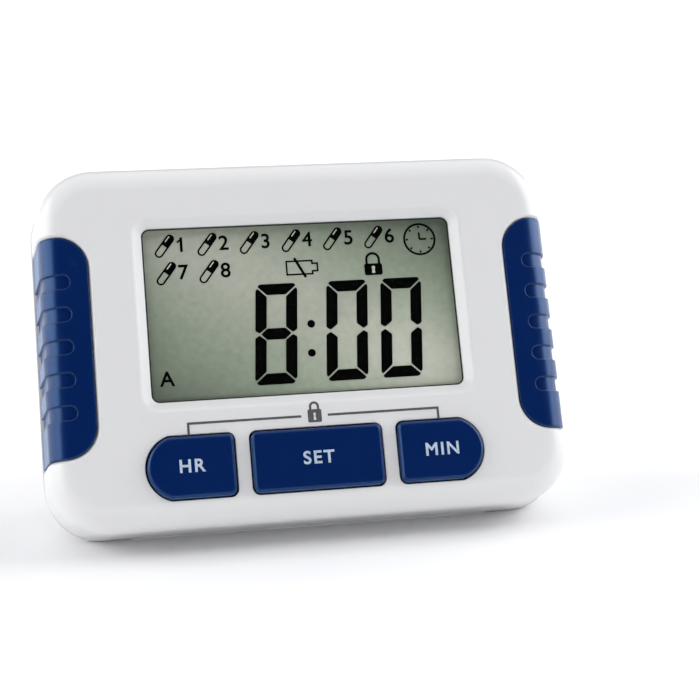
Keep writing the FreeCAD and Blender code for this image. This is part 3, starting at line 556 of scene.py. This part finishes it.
# Seven-segment figures: each size is a distance from the figure's edge or middle
SEGMENTS_SHOWN = {"0": "abcdef", "8": "abcdefg"}
DIGITS = (("8", -4.54), ("0", 6.95), ("0", 15.87))
DIGIT_MIDDLE = 0.8
COLON_DOTS = ((1.20, 2.12), (0.90, -2.62))
SEGMENT_ROUND = 0.16
MIDDLE_ROUND = 0.08
MIDDLE_TIP = 0.95
MIDDLE_SHOULDER = 1.9
MIDDLE_HALF = 0.92
LEVEL_TIP = 0.26
LEVEL_TIP_DROP = 0.36
LEVEL_INNER = 1.86
LEVEL_STROKE = 1.80
LEVEL_CORNER = 0.66
UPRIGHT_STROKE = 1.82
UPRIGHT_CORNER = 1.0
UPRIGHT_TIP = 0.28
UPRIGHT_TIP_DROP = 0.70
UPRIGHT_INNER_DROP = 2.12
UPRIGHT_INNER_FOOT = 1.06
UPRIGHT_FOOT = 0.17
UPRIGHT_FOOT_TIP = 0.70
UPRIGHT_OUTER_FOOT = 0.62


def middle_segment(half):
    tip, shoulder = half - MIDDLE_TIP, half - MIDDLE_SHOULDER
    return tile([(-tip, 0), (-shoulder, -MIDDLE_HALF), (shoulder, -MIDDLE_HALF),
                 (tip, 0), (shoulder, MIDDLE_HALF), (-shoulder, MIDDLE_HALF)], MIDDLE_ROUND)


def level_points(half, tall):
    tip, inner, corner = half - LEVEL_TIP, half - LEVEL_INNER, half - LEVEL_CORNER
    return [(-tip, tall - LEVEL_TIP_DROP), (-inner, tall - LEVEL_STROKE), (inner, tall - LEVEL_STROKE),
            (tip, tall - LEVEL_TIP_DROP), (corner, tall), (-corner, tall)]


def upright_points(half, tall):
    inner = half - UPRIGHT_STROKE
    return [(half, tall - UPRIGHT_CORNER), (half - UPRIGHT_TIP, tall - UPRIGHT_TIP_DROP),
            (inner, tall - UPRIGHT_INNER_DROP), (inner, UPRIGHT_INNER_FOOT),
            (half - UPRIGHT_FOOT_TIP, UPRIGHT_FOOT), (half, UPRIGHT_OUTER_FOOT)]


def digit_segment(letter, half, tall):
    """One bar of a seven-segment figure, mitred against its neighbours."""
    if letter == "g":
        return middle_segment(half)
    points = level_points(half, tall) if letter in "ad" else upright_points(half, tall)
    flip_x = -1 if letter in "ef" else 1
    flip_y = -1 if letter in "cde" else 1
    return tile([(x * flip_x, y * flip_y) for x, y in points], SEGMENT_ROUND)


# Signs: shares of the sign's own sizes
GLINT_SIDE = 0.22
GLINT_RISE = 0.27
GLINT_LENGTH = 0.26
GLINT_WIDTH = 0.13
LOCK_ROUND = 0.12
KEYHOLE_EYE = 0.15
KEYHOLE_DROP = 0.36
SLIT_DROP = 0.40
SLIT_LENGTH = 0.42
SLIT_TOP = 0.55
SLIT_FOOT = 0.95
BOW_RISE = 0.55
CLOCK_TICKS = 8
TICK_REACH = 0.77
TICK_LENGTH = 0.15
TICK_LINE = 0.8
HAND_LENGTH = 0.42
HAND_LINE = 0.9
NUB_HEIGHT = 0.62
NUB_REACH = 0.19
SLASH_LINE = 1.5
SLASH_LENGTH = 1.5
SLASH_SHIFT = 0.02
SLASH_LEAN = math.radians(27.5)

# How far the legs of a padlock's bow reach into its body, in millimetres
BOW_LAP = 0.02


def pill_sign(page, shine, x, y, marks):
    """A leaning capsule: dark upper half with a light stroke, open lower half."""
    length, width = in_millimetres(marks.pill_length), in_millimetres(marks.pill_width)
    line = in_millimetres(marks.fine_line)
    lean = -marks.pill_lean
    stamp(page, part_of(rim_of(capsule(length, width), line), (0, 0, 0), (0, 1, 0)), x, y, lean)
    stamp(page, part_of(capsule(length, width), (0, 0, 0), (0, -1, 0)), x, y, lean)
    reach = Matrix.Rotation(lean, 2) @ Vector((-width * GLINT_SIDE, length * GLINT_RISE))
    stamp(shine, capsule(length * GLINT_LENGTH, width * GLINT_WIDTH), x + reach.x, y + reach.y, lean)


def padlock_sign(page, shine, place, body, bow, line, keyhole=KEYHOLE_EYE):
    """A padlock: rounded body with a light keyhole, and a bow above it."""
    x, y = place
    width, height = body
    stamp(page, bar(width, height, width * LOCK_ROUND), x, y - height / 2)
    eye = height * keyhole
    top, foot, drop = eye * SLIT_TOP, eye * SLIT_FOOT, height * SLIT_LENGTH
    stamp(shine, dot(eye), x, y - height * KEYHOLE_DROP)
    stamp(shine, tile([(-top, 0), (-foot, -drop), (foot, -drop), (top, 0)]), x, y - height * SLIT_DROP)
    leg = bow * BOW_RISE
    stamp(page, part_of(rim_of(dot(bow), line), (0, 0, 0), (0, -1, 0)), x, y + leg)
    for side in (-1, 1):
        stamp(page, bar(line, leg + BOW_LAP), x + side * (bow - line / 2), y + leg / 2)


def clock_sign(page, x, y, radius, line):
    stamp(page, rim_of(dot(radius), line), x, y)
    reach = radius * TICK_REACH
    for index in range(CLOCK_TICKS):
        angle = index * 2 * math.pi / CLOCK_TICKS
        stamp(page, bar(line * TICK_LINE, radius * TICK_LENGTH),
              x + reach * math.sin(angle), y + reach * math.cos(angle), -angle)
    hand = radius * HAND_LENGTH
    stamp(page, bar(line * HAND_LINE, hand), x, y + hand / 2)
    stamp(page, bar(hand, line * HAND_LINE), x + hand / 2, y)


def battery_sign(page, x, y, width, height, line):
    half, tall = width / 2, height / 2
    nub = height * NUB_HEIGHT / 2
    end = half + width * NUB_REACH
    outline = tile([(-half, -tall), (half, -tall), (half, -nub), (end, -nub), (end, nub),
                    (half, nub), (half, tall), (-half, tall)])
    stamp(page, rim_of(outline, line), x, y)
    stamp(page, bar(line * SLASH_LINE, height * SLASH_LENGTH), x + width * SLASH_SHIFT, y, SLASH_LEAN)


class PILLBOX_OT_case(bpy.types.Operator):
    """White finish of both shells, the lid and the battery door"""

    bl_idname = "pillbox.case"
    bl_label = "White case"

    def execute(self, context):
        finish = context.scene.pillbox_finish
        white = moulded("white_gloss_plastic", finish.shell_white, rough=(0.27, 0.31), relief=0.0000005,
                        spread=0.004, gloss=0.45, coat=0.1, edge=0.0002)
        dress(white, "front_housing", "rear_housing", "pill_lid", "battery_door")
        return {"FINISHED"}


class PILLBOX_OT_trim(bpy.types.Operator):
    """Blue finish of the grips and the buttons"""

    bl_idname = "pillbox.trim"
    bl_label = "Blue trim"

    def execute(self, context):
        finish = context.scene.pillbox_finish
        blue = moulded("blue_satin_plastic", finish.trim_blue, rough=(0.23, 0.28), relief=0.0000008,
                       spread=0.015, gloss=0.7, sheen=0.5, edge=0.0003, tint=BLUE_GLOSS)
        dress(blue, "left_grip", "right_grip", "hour_button", "mode_button", "minute_button")
        return {"FINISHED"}


class PILLBOX_OT_display(bpy.types.Operator):
    """Finish of the window, the display glass and its frame, with a dark line of painted shade round the
    window
    """

    bl_idname = "pillbox.display"
    bl_label = "Display"

    def execute(self, context):
        finish = context.scene.pillbox_finish
        marks = context.scene.pillbox_marks
        dress(window_finish(), "display_window")
        dress(display_with_painted_light(finish), "lcd_panel")
        grey = moulded("grey_matt_plastic", finish.inner_grey, rough=(0.5, 0.62), relief=0.000006)
        dress(grey, "display_frame", "battery_box")
        dress(strip_finish(), "contact_strips")
        page = bmesh.new()
        # Dark line of painted shade round the window, where the gap between housing and glass lies in shade
        edge = rim_of(bar(2 * WINDOW_HALF_WIDTH, 2 * WINDOW_HALF_HEIGHT, WINDOW_CORNER), WINDOW_SHADE_WIDTH)
        stamp(page, edge, 0, WINDOW_RISE)
        print_page(page, "window_shade_line", on_face(0, 0, WINDOW_FRONT_DEPTH), marks.ink_thickness,
                   ink("window_shade_ink", finish.window_shade_colour, rough=0.6), "case")
        return {"FINISHED"}


BLACK = (0.012, 0.012, 0.013)
ZINC = (0.60, 0.60, 0.61)
NICKEL = (0.66, 0.64, 0.60)
ZINC_SCRATCH = (300, 2500, 300)
NICKEL_SCRATCH = (2500, 300, 300)


class PILLBOX_OT_inside(bpy.types.Operator):
    """Finish of the tray, the board and everything behind the doors"""

    bl_idname = "pillbox.inside"
    bl_label = "Inside"

    def execute(self, context):
        finish = context.scene.pillbox_finish
        tray = moulded("tray_matt_plastic", finish.tray_white, rough=(0.42, 0.55), relief=0.000006,
                       spread=0.02)
        dress(tray, "pill_tray")
        dress(board_finish(finish), "circuit_board")
        black = moulded("black_matt_plastic", BLACK, rough=(0.5, 0.65), relief=0.000008, spread=0.15)
        dress(black, "controller_cap", "buzzer", "switch_bases", "hour_plunger", "mode_plunger",
              "minute_plunger")
        dress(plated("bright_zinc", ZINC, rough=(0.22, 0.38), scratch=ZINC_SCRATCH),
              "board_screws", "case_screws", "lid_pin", "crystal")
        dress(plated("nickel_plate", NICKEL, rough=(0.15, 0.30), scratch=NICKEL_SCRATCH),
              "spring_contact", "plate_contact")
        dress(cell_finish(finish), "battery_cell")
        return {"FINISHED"}


# Case screws: sizes in millimetres, then shares of the shank, the head's radius and its height
SCREW_HEAD_HEIGHT = 1.8
SCREW_SHANK = 1.3
SCREW_SLOT = 0.55
SCREW_SIDES = 40
SEAM_MERGE = 1e-6
SCREW_TIP = 0.35
SCREW_TAPER = 1.6
HEAD_DOME = ((1.0, 0.45), (0.86, 0.78), (0.55, 0.95))
RECESS_LENGTH = 1.25
RECESS_HEIGHT = 1.2


def turned(profile, steps):
    """A solid of revolution about z from its half profile, axis to axis."""
    body = bmesh.new()
    chain = [body.verts.new((radius, 0, height)) for radius, height in profile]
    edges = [body.edges.new(pair) for pair in zip(chain, chain[1:])]
    bmesh.ops.spin(body, geom=chain + edges, cent=(0, 0, 0), axis=(0, 0, 1), angle=2 * math.pi, steps=steps,
                   use_merge=True)
    bmesh.ops.remove_doubles(body, verts=body.verts, dist=SEAM_MERGE)
    bmesh.ops.recalc_face_normals(body, faces=body.faces)
    return body


def recess_blade(radius, head, slot, turn):
    blade = bmesh.new()
    bmesh.ops.create_cube(blade, size=1.0)
    bmesh.ops.scale(blade, vec=(radius * RECESS_LENGTH, slot, head * RECESS_HEIGHT), verts=blade.verts)
    bmesh.ops.transform(blade, matrix=Matrix.Translation((0, 0, head)) @ Matrix.Rotation(turn, 4, "Z"),
                        verts=blade.verts)
    return blade


def cross_screw(radius, head, shank, length, slot):
    """A pan-head screw along z, head up from z = 0, with a cross recess cut into its head."""
    stem = [(0, -length), (shank * SCREW_TIP, -length), (shank, -length + shank * SCREW_TAPER), (shank, 0)]
    dome = [(radius * across, head * rise) for across, rise in HEAD_DOME]
    screw = as_object(turned(stem + [(radius, 0)] + dome + [(0, head)], SCREW_SIDES), "screw_blank")
    cutters = []
    for turn in (0, math.pi / 2):
        cutter = as_object(recess_blade(radius, head, slot, turn), "screw_cutter")
        cut = screw.modifiers.new("recess", "BOOLEAN")
        cut.operation = "DIFFERENCE"
        cut.object = cutter
        cutters.append(cutter)
    mesh = finished_mesh(screw)
    for scrap in [screw] + cutters:
        bpy.data.meshes.remove(scrap.data)
    return mesh


class PILLBOX_OT_screws(bpy.types.Operator):
    """The two case screws, with domed heads and cross recesses"""

    bl_idname = "pillbox.screws"
    bl_label = "Case screws"

    def execute(self, context):
        to_face = FACE.inverted()
        spots = [to_face @ vertex.co / MILLIMETRE for vertex in frame["nodes"]["case_screws"].data.vertices]
        low_y, high_y = min(spot.y for spot in spots), max(spot.y for spot in spots)
        radius = (high_y - low_y) / 2
        x = max(spot.x for spot in spots) - radius
        back = -min(spot.z for spot in spots)
        length = back + max(spot.z for spot in spots) - SCREW_HEAD_HEIGHT
        seat = back - SCREW_HEAD_HEIGHT
        for side, name in ((-1, "left_case_screw"), (1, "right_case_screw")):
            mesh = cross_screw(radius, SCREW_HEAD_HEIGHT, SCREW_SHANK, length, SCREW_SLOT)
            mesh.name = name
            mesh.transform(on_face(side * x, (low_y + high_y) / 2, seat) @ Matrix.Rotation(math.pi, 4, "X"))
            mesh.materials.append(bpy.data.materials["bright_zinc"])
            piece = bpy.data.objects.new(name, mesh)
            context.scene.collection.objects.link(piece)
            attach(piece, "case")
            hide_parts("case_screws")
        return {"FINISHED"}


def segment_ink(context):
    """The display's black, made once for the figures and the signs."""
    return bpy.data.materials.get("segment_ink") or ink(
        "segment_ink", context.scene.pillbox_finish.segment_black, rough=0.8, gloss=0.0)


class PILLBOX_OT_digits(bpy.types.Operator):
    """Large seven-segment figures and the colon on the display"""

    bl_idname = "pillbox.digits"
    bl_label = "Time figures"

    def execute(self, context):
        marks = context.scene.pillbox_marks
        half = in_millimetres(marks.digit_width) / 2
        tall = in_millimetres(marks.digit_height) / 2
        page = bmesh.new()
        for figure, x in DIGITS:
            for letter in SEGMENTS_SHOWN[figure]:
                segment = digit_segment(letter, half, tall)
                for vertex in segment.verts:
                    vertex.co.x += vertex.co.y * math.tan(marks.digit_slant)
                stamp(page, segment, x, DIGIT_MIDDLE)
        for x, y in COLON_DOTS:
            stamp(page, dot(in_millimetres(marks.colon_radius)), x, y)
        print_page(page, "time_figures", on_face(0, 0, DISPLAY_DEPTH), marks.ink_thickness,
                   segment_ink(context), "case")
        return {"FINISHED"}


# Places and sizes of the display's signs, in millimetres on the face
PILL_START = -21.3
PILL_ROWS = ((16.0, "123456"), (11.5, "78"))
NUMBER_REACH = 2.65
NUMBER_WEIGHT = 0.016
ONE_FLAG = (0.85, 0.28)
ONE_FLAG_PLACE = (-0.33, 0.78)
ONE_FLAG_LEAN = math.radians(38)
CLOCK_PLACE = (20.3, 15.3)
CLOCK_RADIUS = 2.72
CLOCK_WEIGHT = 1.25
BATTERY_PLACE = (0.08, 11.45)
BATTERY_SIZE = (4.45, 2.46)
DISPLAY_LOCK = (12.17, 11.58)
DISPLAY_LOCK_BODY = (2.96, 1.93)
DISPLAY_LOCK_BOW = 1.22
DISPLAY_LOCK_LINE = 0.38
MORNING_PLACE = (-22.3, -5.6)


class PILLBOX_OT_signs(bpy.types.Operator):
    """Pill signs with their numbers, clock, battery, padlock and morning mark on the display"""

    bl_idname = "pillbox.signs"
    bl_label = "Display signs"

    def execute(self, context):
        marks = context.scene.pillbox_marks
        line = in_millimetres(marks.fine_line)
        height = in_millimetres(marks.number_height)
        page = bmesh.new()
        shine = bmesh.new()
        for y, numbers in PILL_ROWS:
            for index, number in enumerate(numbers):
                x = PILL_START + index * in_millimetres(marks.pill_pitch)
                pill_sign(page, shine, x, y, marks)
                stamp(page, letters(number, height, NUMBER_WEIGHT), x + NUMBER_REACH, y)
                if number == "1":
                    across, rise = ONE_FLAG_PLACE
                    stamp(page, bar(*ONE_FLAG), x + NUMBER_REACH + across, y + rise, ONE_FLAG_LEAN)
        clock_sign(page, *CLOCK_PLACE, CLOCK_RADIUS, line * CLOCK_WEIGHT)
        battery_sign(page, *BATTERY_PLACE, *BATTERY_SIZE, line)
        padlock_sign(page, shine, DISPLAY_LOCK, DISPLAY_LOCK_BODY, DISPLAY_LOCK_BOW, DISPLAY_LOCK_LINE)
        stamp(page, letters("A", height, NUMBER_WEIGHT), *MORNING_PLACE)
        print_page(page, "display_signs", on_face(0, 0, DISPLAY_DEPTH), marks.ink_thickness,
                   segment_ink(context), "case")
        on_top = DISPLAY_DEPTH - in_millimetres(marks.ink_thickness)
        pale = ink("display_pale_ink", context.scene.pillbox_finish.display_highlight_band, rough=0.7, gloss=0.05)
        print_page(shine, "display_glints", on_face(0, 0, on_top), marks.ink_thickness, pale, "case")
        return {"FINISHED"}


# The lock print, in millimetres on the face
BRACKET_HALF = 19.95
BRACKET_Y = -13.16
BRACKET_FOOT = -14.8
BRACKET_GAP = 2.1
FACE_LOCK = (0.03, -12.15)
FACE_LOCK_BODY = (2.19, 2.06)
FACE_LOCK_BOW = 0.80
FACE_LOCK_EYE = 0.1


class PILLBOX_OT_lock_print(bpy.types.Operator):
    """Padlock print on the face, with a bracket that reaches to the outer buttons"""

    bl_idname = "pillbox.lock_print"
    bl_label = "Lock print"

    def execute(self, context):
        finish = context.scene.pillbox_finish
        marks = context.scene.pillbox_marks
        line = in_millimetres(marks.print_line)
        page = bmesh.new()
        run = BRACKET_HALF - BRACKET_GAP
        drop = BRACKET_Y - BRACKET_FOOT
        for side in (-1, 1):
            stamp(page, bar(run, line), side * (BRACKET_GAP + run / 2), BRACKET_Y)
            stamp(page, bar(line, drop), side * (BRACKET_HALF - line / 2), BRACKET_Y - (drop + line) / 2)
        keyhole = bmesh.new()
        padlock_sign(page, keyhole, FACE_LOCK, FACE_LOCK_BODY, FACE_LOCK_BOW, line, FACE_LOCK_EYE)
        print_page(page, "lock_print", on_face(0, 0, 0), marks.ink_thickness,
                   ink("print_grey_ink", finish.print_grey, rough=0.45), "case")
        on_top = on_face(0, 0, -in_millimetres(marks.ink_thickness))
        print_page(keyhole, "lock_keyhole", on_top, marks.ink_thickness,
                   ink("keyhole_white_ink", finish.shell_white, rough=0.45), "case")
        return {"FINISHED"}


LABEL_ROW = -19.9
LABEL_SPACING = 1.2
LABEL_WEIGHT = 0.022


class PILLBOX_OT_labels(bpy.types.Operator):
    """Short printed labels on the three buttons"""

    bl_idname = "pillbox.labels"
    bl_label = "Button labels"

    def execute(self, context):
        marks = context.scene.pillbox_marks
        pale = ink("label_white_ink", context.scene.pillbox_finish.label_white, rough=0.4)
        words = {"hour": marks.hour_label, "mode": marks.mode_label, "minute": marks.minute_label}
        for body, text in words.items():
            low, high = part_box(body + "_button")
            middle = FACE.inverted() @ ((low + high) / 2) / MILLIMETRE
            page = bmesh.new()
            stamp(page, letters(text, in_millimetres(marks.label_height), LABEL_WEIGHT, LABEL_SPACING))
            print_page(page, body + "_label", on_face(middle.x, LABEL_ROW, BUTTON_TOP_DEPTH),
                       marks.ink_thickness, pale, body)
        return {"FINISHED"}


# The stage, in metres
SENSOR_WIDTH = 36.0
FLOOR_HALF = 3.0
BACKDROP_RADIUS = 0.64
BACKDROP_HEIGHT = 0.13
BACKDROP_SIDES = 96
LIGHT_TARGET = Vector((0, 0, 0.03))
TOP_PLACE, TOP_SIZE = (0.0, 0.10, 0.75), (1.2, 1.4)
LEFT_PLACE, LEFT_SIZE = (-0.65, 0.02, 0.30), (0.7, 0.5)
RIGHT_PLACE, RIGHT_SIZE = (0.65, 0.02, 0.38), (0.7, 0.5)
FRONT_PLACE, FRONT_SIZE = (0.0, -0.75, 0.10), (0.8, 0.2)


class PILLBOX_OT_stage(bpy.types.Operator):
    """White floor, soft lights and the camera"""

    bl_idname = "pillbox.stage"
    bl_label = "Stage"

    def execute(self, context):
        stage = context.scene.pillbox_stage
        self.floor(stage)
        self.backdrop(stage)
        self.softbox(context, "top_softbox", TOP_PLACE, TOP_SIZE, stage.top_power)
        self.softbox(context, "left_softbox", LEFT_PLACE, LEFT_SIZE, stage.left_power)
        self.softbox(context, "right_softbox", RIGHT_PLACE, RIGHT_SIZE, stage.right_power)
        self.softbox(context, "front_softbox", FRONT_PLACE, FRONT_SIZE, stage.front_power)
        self.sky(context, stage)
        self.camera(context, stage)
        return {"FINISHED"}

    def floor(self, stage):
        sheet = bmesh.new()
        bmesh.ops.create_grid(sheet, x_segments=2, y_segments=2, size=FLOOR_HALF)
        piece = as_object(sheet, "floor")
        material, tree, shader, place = start_finish("floor_card")
        paint = mottle(tree, cloud(tree, place, scale=40.0), stage.floor_white, dark=0.995, pale=1.0)
        tree.links.new(paint, shader.inputs["Base Color"])
        shader.inputs["Roughness"].default_value = 0.8
        shader.inputs["Specular IOR Level"].default_value = 0.1
        piece.data.materials.append(material)

    def backdrop(self, stage):
        sheet = bmesh.new()
        bmesh.ops.create_cone(sheet, cap_ends=False, segments=BACKDROP_SIDES, radius1=BACKDROP_RADIUS,
                              radius2=BACKDROP_RADIUS, depth=BACKDROP_HEIGHT)
        bmesh.ops.translate(sheet, vec=(0, 0, BACKDROP_HEIGHT / 2), verts=sheet.verts)
        bmesh.ops.reverse_faces(sheet, faces=sheet.faces)
        piece = as_object(sheet, "backdrop")
        material, tree, shader, place = start_finish("backdrop_card")
        glow = tones(tree, cloud(tree, place, scale=3.0), ((0.3, stage.floor_white), (0.7, PLAIN)))
        tree.links.new(glow, shader.inputs["Emission Color"])
        shader.inputs["Emission Strength"].default_value = stage.backdrop_glow
        piece.data.materials.append(material)

    def softbox(self, context, name, place, size, power):
        light = bpy.data.lights.new(name, "AREA")
        light.shape = "RECTANGLE"
        light.size, light.size_y = size
        light.energy = power
        carrier = bpy.data.objects.new(name, light)
        carrier.location = place
        carrier.rotation_euler = (LIGHT_TARGET - Vector(place)).to_track_quat("-Z", "Y").to_euler()
        context.scene.collection.objects.link(carrier)

    def sky(self, context, stage):
        world = bpy.data.worlds.new("white_room")
        world.use_nodes = True
        background = world.node_tree.nodes["Background"]
        background.inputs["Color"].default_value = stage.sky_tint
        background.inputs["Strength"].default_value = stage.sky
        context.scene.world = world

    def camera(self, context, stage):
        camera = bpy.data.cameras.new("photo_camera")
        camera.lens = stage.lens
        camera.sensor_width = SENSOR_WIDTH
        carrier = bpy.data.objects.new("photo_camera", camera)
        context.scene.collection.objects.link(carrier)
        pitch, yaw, roll = stage.camera_turn
        turn = Matrix.Rotation(roll, 3, "Z") @ Matrix.Rotation(pitch, 3, "X") @ Matrix.Rotation(yaw, 3, "Y")
        carrier.matrix_world = FACE @ Matrix.Translation(stage.camera_place) @ turn.transposed().to_4x4()
        context.scene.camera = carrier
        context.scene.view_settings.view_transform = "Standard"


class PILLBOX_PT_dressing(bpy.types.Panel):
    """Lists the steps that dress the box"""

    bl_idname = "PILLBOX_PT_dressing"
    bl_label = "Pill Box Timer"
    bl_space_type = "VIEW_3D"
    bl_region_type = "UI"
    bl_category = "Pill Box"

    def draw(self, context):
        for step in STEPS:
            self.layout.operator(step.bl_idname)
        for group in (context.scene.pillbox_finish, context.scene.pillbox_marks, context.scene.pillbox_stage):
            column = self.layout.column()
            for name in group.__annotations__:
                column.prop(group, name)


STEPS = (PILLBOX_OT_case, PILLBOX_OT_trim, PILLBOX_OT_display, PILLBOX_OT_inside, PILLBOX_OT_screws,
         PILLBOX_OT_digits, PILLBOX_OT_signs, PILLBOX_OT_lock_print, PILLBOX_OT_labels, PILLBOX_OT_stage)
GROUPS = {"pillbox_finish": PillBoxFinish, "pillbox_marks": PillBoxMarks, "pillbox_stage": PillBoxStage}


def register():
    for name, group in GROUPS.items():
        bpy.utils.register_class(group)
        setattr(bpy.types.Scene, name, PointerProperty(type=group))
    for item in (*STEPS, PILLBOX_PT_dressing):
        bpy.utils.register_class(item)


def unregister():
    for item in reversed((*STEPS, PILLBOX_PT_dressing)):
        bpy.utils.unregister_class(item)
    for name, group in GROUPS.items():
        delattr(bpy.types.Scene, name)
        bpy.utils.unregister_class(group)


def main():
    register()
    bpy.ops.pillbox.case()
    bpy.ops.pillbox.trim()
    bpy.ops.pillbox.display()
    bpy.ops.pillbox.inside()
    bpy.ops.pillbox.screws()
    bpy.ops.pillbox.digits()
    bpy.ops.pillbox.signs()
    bpy.ops.pillbox.lock_print()
    bpy.ops.pillbox.labels()
    bpy.ops.pillbox.stage()


if __name__ == "__main__":
    main()
